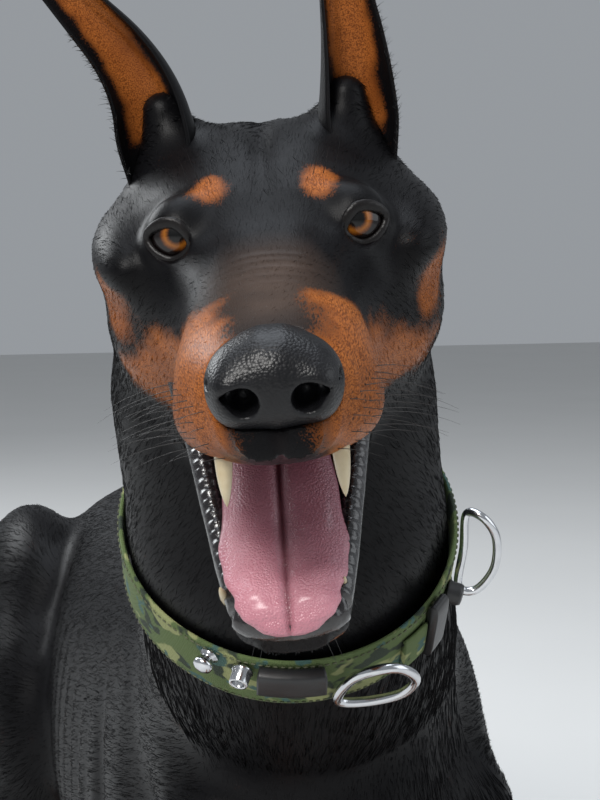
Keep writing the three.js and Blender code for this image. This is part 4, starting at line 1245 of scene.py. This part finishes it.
# Small beads set at even steps along the edges of a mesh, such as stitches.
def beadTree(material):
    tree, start, end, names = newTree("beads_on_paths", [
        ("Spacing", "NodeSocketFloat", 0.003), ("Bead", "NodeSocketVector", (0.001, 0.0004, 0.0004)),
        ("Least", "NodeSocketFloat", 1.0), ("Seed", "NodeSocketInt", 3)])
    curve = tree.nodes.new("GeometryNodeMeshToCurve")
    even = addNode(tree, "GeometryNodeResampleCurve", mode="LENGTH")
    bead = addNode(tree, "GeometryNodeMeshIcoSphere", Radius=1.0, Subdivisions=2)
    along = tree.nodes.new("GeometryNodeInputTangent")
    turned = addNode(tree, "FunctionNodeAlignRotationToVector", axis="X")
    size = addNode(tree, "FunctionNodeRandomValue", data_type="FLOAT")
    scale = addNode(tree, "ShaderNodeVectorMath", operation="SCALE")
    places = tree.nodes.new("GeometryNodeInstanceOnPoints")
    link(tree, start.outputs["Geometry"], curve.inputs["Mesh"])
    link(tree, curve.outputs["Curve"], even.inputs["Curve"])
    link(tree, start.outputs["Spacing"], even.inputs["Length"])
    link(tree, along.outputs["Tangent"], turned.inputs["Vector"])
    link(tree, start.outputs["Least"], size.inputs[2])
    link(tree, start.outputs["Seed"], size.inputs["Seed"])
    link(tree, start.outputs["Bead"], scale.inputs[0])
    link(tree, size.outputs[1], scale.inputs["Scale"])
    link(tree, even.outputs["Curve"], places.inputs["Points"])
    link(tree, bead.outputs["Mesh"], places.inputs["Instance"])
    link(tree, turned.outputs["Rotation"], places.inputs["Rotation"])
    link(tree, scale.outputs["Vector"], places.inputs["Scale"])
    endTree(tree, places.outputs["Instances"], end, material)
    return tree, names


def grow(name, paths, tree, names, values, slot, thin=None):
    points = np.concatenate(paths)
    edges, base = [], 0
    for path in paths:
        edges += [(base + k, base + k + 1) for k in range(len(path) - 1)]
        base += len(path)
    mesh = bpy.data.meshes.new(f"{name}_paths")
    mesh.from_pydata(toFrame(points).tolist(), edges, [])
    if thin is not None:
        addValues(mesh, "thin", thin)
    carrier = bpy.data.objects.new(f"{name}_paths", mesh)
    bpy.context.collection.objects.link(carrier)
    modifier = carrier.modifiers.new("nodes", "NODES")
    modifier.node_group = tree
    for label, value in values.items():
        modifier[names[label]] = value
    depsgraph = bpy.context.evaluated_depsgraph_get()
    made = bpy.data.meshes.new_from_object(carrier.evaluated_get(depsgraph))
    bpy.data.objects.remove(carrier)
    made.polygons.foreach_set("use_smooth", [True] * len(made.polygons))
    return addPiece(name, faceOut(made), None)


beads, beadNames = beadTree(thread)
edgeHeight = collar["width"] / 2 - collar["stitchEdge"]
stitchLift = collar["innerLift"] + collar["thickness"] + 0.05
stitchLines = [onCollar([(degrees, height, stitchLift) for degrees in np.linspace(0, 360, 181)])
               for height in (-edgeHeight, edgeHeight)]
grow("collar_stitches", stitchLines, beads, beadNames,
     {"Spacing": collar["stitchStep"] * 0.001, "Bead": (0.0012, 0.00042, 0.00042)}, "webbing")
papillae, papillaeNames = beadTree(lipSkin)
lipLine = fromHead(fromJaw(lipPath() + [0, 0, lip["thick"] * 0.9]))
beadLines = [lipLine[lip["beadsFrom"]:lip["beadsTo"]], lipLine[-lip["beadsTo"]:-lip["beadsFrom"]]]
grow("lip_papillae", beadLines, papillae, papillaeNames,
     {"Spacing": 0.0034, "Bead": (0.0013, 0.0016, 0.0016), "Least": 0.5, "Seed": 11}, "coat_black")

# Whiskers, brow and chin hairs, and the short hairs on the ears' outer edges, in the head's frame.
whiskers = {"length": (22, 46), "thickness": 0.00016, "rows": 4, "inRow": 6, "points": 7, "onEar": 150}
chance = np.random.default_rng(21)


def bentHair(root, direction, length, sag=0.25):
    s = np.linspace(0, 1, whiskers["points"])[:, None]
    direction = direction / np.linalg.norm(direction)
    return root + direction * length * s + np.array([0, 0.35, -1.0]) * sag * length * s**2


hairs = []
for side in (1, -1):
    for row in range(whiskers["rows"]):
        for k in range(whiskers["inRow"]):
            root = np.array([(25 + 2.2 * k) * side, 14 + 6.0 * k + row, -26 - 6.0 * row])
            for _ in range(10):
                spot = fromHead(root[None])
                root = root - np.array([side, 0, 0]) * float(np.clip(headField(spot)[0] + 0.8, -2, 2))
            out = np.array([side * (0.9 + 0.3 * chance.random()), 0.15 + 0.5 * chance.random(),
                            -0.25 * chance.random()])
            hairs.append(bentHair(root, out, chance.uniform(*whiskers["length"]) * (0.35 + 0.1 * k)))
    for k in range(3):
        root = np.array([(20 + 4 * k) * side, 140, 21.5])
        hairs.append(bentHair(root, np.array([0.3 * side, -0.5, 1]), chance.uniform(10, 17), -0.2))
    for k in range(7):
        root = fromJaw([(10 + 2 * k) * side, 14 + 5 * k, -24])
        hairs.append(bentHair(root, np.array([0.4 * side, -0.2, -1]), chance.uniform(9, 18), 0.2))
for side in (1, -1):
    for k in range(whiskers["onEar"]):
        t = 0.06 + 0.5 * chance.random()
        angle, outside, _ = earSection(side, t, np.array([side * chance.uniform(0.93, 1.0)]))
        frameTurn, place = earPose(side, t)
        around = np.array([math.sin(angle[0]), math.cos(angle[0]), 0])
        away = np.array([math.cos(angle[0]) * side, -math.sin(angle[0]) * side, 0.5])
        root = frameTurn @ (around * (outside[0] - 0.8)) + place
        out = frameTurn @ (away + chance.normal(0, 0.2, 3))
        hairs.append(bentHair(root, out, chance.uniform(4, 9) * (1.2 - t), 0.1))
hairNodes, hairNames = hairTree(whiskerHair)
hairThinning = np.tile(np.linspace(1, 0.15, whiskers["points"]), len(hairs))
grow("whiskers", [fromHead(hair) for hair in hairs], hairNodes, hairNames,
     {"Thickness": whiskers["thickness"]}, "coat_black", hairThinning)
print("stitches and whiskers made")


# Coat tufts: thin closed slivers along the lie of the hair, each with a patch on the skin's unwrap.
def unwrapOf(piece):
    bpy.context.view_layer.objects.active = piece
    piece.select_set(True)
    bpy.ops.object.mode_set(mode="EDIT")
    bpy.ops.mesh.select_all(action="SELECT")
    bpy.ops.uv.smart_project(angle_limit=math.radians(66), island_margin=0.0)
    bpy.ops.object.mode_set(mode="OBJECT")
    piece.select_set(False)
    layer = piece.data.uv_layers.active
    spots = np.empty(len(piece.data.loops) * 2, np.float32)
    layer.data.foreach_get("uv", spots)
    piece.data.uv_layers.remove(layer)
    return spots.reshape(-1, 4, 2)


tuftDepth = 0.35  # how far a tuft's foot lies under the skin
patchHalf = 0.0015


def headLie(world):
    p = toHead(world)
    aside = 0.25 * np.sign(p[:, 0]) * (p[:, 2] < 0)
    down = -0.35 - 0.5 * (p[:, 2] < -20)
    lie = np.column_stack([aside, np.ones(len(p)), down]) @ head["turn"].T
    neck = np.array([0.28, 0.25, -1.0])
    mix = np.clip((p[:, 1] - 190) / 50, 0, 1)[:, None]
    return lie * (1 - mix) + neck * mix


def bodyLie(world):
    lie = np.tile([0.0, 1.0, -0.28], (len(world), 1))
    lie[:, 2] -= 0.9 * (world[:, 2] < 130) * (world[:, 1] > 440)
    front = (world[:, 1] < 30) & (world[:, 2] > 70)
    lie[front] = [0, 0.12, -1]
    paw = world[:, 2] < 62
    lie[paw] = [0, -1, -0.3]
    return lie


def plantTufts(name, points, quads, normals, unwrap, plan, chosen):
    dice = np.random.default_rng(plan["seed"])
    a, b, c, d = (points[quads[:, k]] for k in range(4))
    area = np.linalg.norm(np.cross(c - a, d - b), axis=1) / 2
    middle = (a + b + c + d) / 4
    weight = area * chosen(middle)
    pick = dice.choice(len(quads), plan["count"], p=weight / weight.sum())
    u, v = dice.random((2, plan["count"], 1))
    corner = [(1 - u) * (1 - v), u * (1 - v), u * v, (1 - u) * v]
    root = sum(w * points[quads[pick, k]] for k, w in enumerate(corner))
    normal = sum(w * normals[quads[pick, k]] for k, w in enumerate(corner))
    normal /= np.linalg.norm(normal, axis=1)[:, None]
    patch = sum(w * unwrap[pick, k] for k, w in enumerate(corner))
    lie = plan["lie"](root)
    lie = lie - normal * (lie * normal).sum(axis=1)[:, None]
    lie /= np.maximum(np.linalg.norm(lie, axis=1), 1e-3)[:, None]
    side = np.cross(normal, lie)
    lie = lie + side * dice.normal(0, plan["stray"], (plan["count"], 1))
    length = plan["length"](root)[:, None] * dice.uniform(0.65, 1.3, (plan["count"], 1))
    width = plan["width"] * dice.uniform(0.7, 1.3, (plan["count"], 1))
    lift = plan["lift"] * dice.uniform(0.3, 1.5, (plan["count"], 1))
    sunk = root - normal * tuftDepth
    corners = np.stack([sunk - side * width, sunk + side * width, sunk + normal * (tuftDepth + width * 0.7),
                        root + lie * length + normal * lift * length], axis=1)
    order = np.array([[0, 1, 3], [0, 3, 2], [1, 2, 3], [0, 2, 1]])
    faces = (order[None] + 4 * np.arange(plan["count"])[:, None, None]).reshape(-1, 3)
    mesh = fillMesh(name, corners.reshape(-1, 3), faces)
    for value, amounts in markings(root).items():
        addValues(mesh, value, np.repeat(amounts, 4))
    offsets = np.array([[-1, -1], [1, -1], [0, 0], [0, 1]]) * patchHalf
    spots = (patch[:, None, :] + offsets).reshape(-1, 2)
    layer = mesh.uv_layers.new(name="OFBake")
    layer.data.foreach_set("uv", spots[faces.ravel()].ravel().astype(np.float32))
    return addPiece(name, mesh, coatTufts)


def faceShare(middle):
    p = toHead(middle)
    half = mirrored(p)
    inside = markings(middle)["bare"]
    nearEye = np.linalg.norm(half - eyeCentre(1), axis=1) < eye["radius"] + 5
    share = np.where(p[:, 1] < 60, 0.7, 1.0) * (1 - inside) * ~nearEye
    chin = np.abs(toJaw(p)[:, 2] + 20) < 14
    return share * (1 + 2.0 * chin)


tufts = {
    "coat_head": {"count": 46000, "seed": 5, "lie": headLie, "stray": 0.16, "width": 0.13, "lift": 0.045,
                  "length": lambda world: np.interp(
                      toHead(world)[:, 1], [0, 60, 140, 220, 300], [1.8, 2.6, 4.0, 6.0, 8.0])},
    "coat_front": {"count": 46000, "seed": 8, "lie": bodyLie, "stray": 0.12, "width": 0.27, "lift": 0.03,
                   "length": lambda world: np.where(world[:, 2] < 62, 4.0, 9.0)},
    "coat_middle": {"count": 46000, "seed": 9, "lie": bodyLie, "stray": 0.12, "width": 0.29, "lift": 0.026,
                    "length": lambda world: np.where(world[:, 2] < 62, 5.0, 10.0)},
    "coat_rear": {"count": 46000, "seed": 10, "lie": bodyLie, "stray": 0.13, "width": 0.29, "lift": 0.03,
                  "length": lambda world: np.where(world[:, 2] < 50, 4.0, 10.0)},
}
headUnwrap, bodyUnwrap = unwrapOf(headPiece), unwrapOf(bodyPiece)
print("skins unwrapped")
plantTufts("coat_head", headPoints, headQuads, headNormals, headUnwrap, tufts["coat_head"], faceShare)
stretches = {"coat_front": (-200, 130), "coat_middle": (130, 430), "coat_rear": (430, 800)}


def shareBetween(start, end):
    def share(middle):
        belowCollar = (middle - collar["middle"]) @ collarAxis < -22
        within = (middle[:, 1] >= start) & (middle[:, 1] < end)
        return (within & (middle[:, 2] > 3) & belowCollar).astype(float)
    return share


for name, ends in stretches.items():
    plantTufts(name, bodyPoints, bodyQuads, bodyNormals, bodyUnwrap, tufts[name], shareBetween(*ends))
print("tufts planted")

# Floor, light and camera.
floorReach = 7
floorCorners = [(x * floorReach, y * floorReach, 0) for x, y in ((-1, -1), (1, -1), (1, 1), (-1, 1))]
floorMesh = bpy.data.meshes.new("floor")
floorMesh.from_pydata(floorCorners, [], [(0, 1, 2, 3)])
floor = bpy.data.objects.new("floor", floorMesh)
bpy.context.collection.objects.link(floor)
floorMesh.materials.append(mottledMaterial("floor_paper", looks["paper"], Roughness=0.9))

# Each lamp: place, size, power and colour.
studio = {
    "key": ((-1.4, -1.9, 2.1), 0.7, 62, (1.0, 0.98, 0.95)),
    "fill": ((1.7, -1.3, 1.2), 1.8, 16, (0.92, 0.96, 1.0)),
    "sky": ((-0.2, -0.1, 2.9), 2.0, 44, (0.86, 0.92, 1.0)),
    "rim": ((-1.3, 1.7, 1.7), 1.2, 34, (0.95, 0.98, 1.0)),
}
target = Vector(toFrame(head["anchor"]))
for name, (place, size, power, colour) in studio.items():
    lampData = bpy.data.lights.new(name, "AREA")
    lampData.size, lampData.energy, lampData.color = size, power, colour
    lamp = bpy.data.objects.new(name, lampData)
    bpy.context.collection.objects.link(lamp)
    lamp.location = place
    lamp.rotation_euler = (target - Vector(place)).to_track_quat("-Z", "Y").to_euler()
surroundings = bpy.data.worlds.new("studio")
surroundings.use_nodes = True
background = surroundings.node_tree.nodes["Background"]
background.inputs["Color"].default_value = (0.84, 0.89, 0.95, 1)
background.inputs["Strength"].default_value = 0.36
bpy.context.scene.world = surroundings
bpy.context.scene.view_settings.view_transform = "Standard"

view = {"from": np.array([-171.0, -569.0, -9.0]), "ahead": (0.309, 0.951), "down": 5.7, "lens": 67.5}
cameraData = bpy.data.cameras.new("camera")
cameraData.lens = view["lens"]
cameraData.sensor_width = 36
camera = bpy.data.objects.new("camera", cameraData)
bpy.context.collection.objects.link(camera)
camera.location = toFrame(head["anchor"] + view["from"])
down = math.radians(view["down"])
aside, ahead = view["ahead"]
look = Vector((aside * math.cos(down), ahead * math.cos(down), -math.sin(down)))
camera.rotation_euler = look.to_track_quat("-Z", "Y").to_euler()
bpy.context.scene.camera = camera

print("scene made")
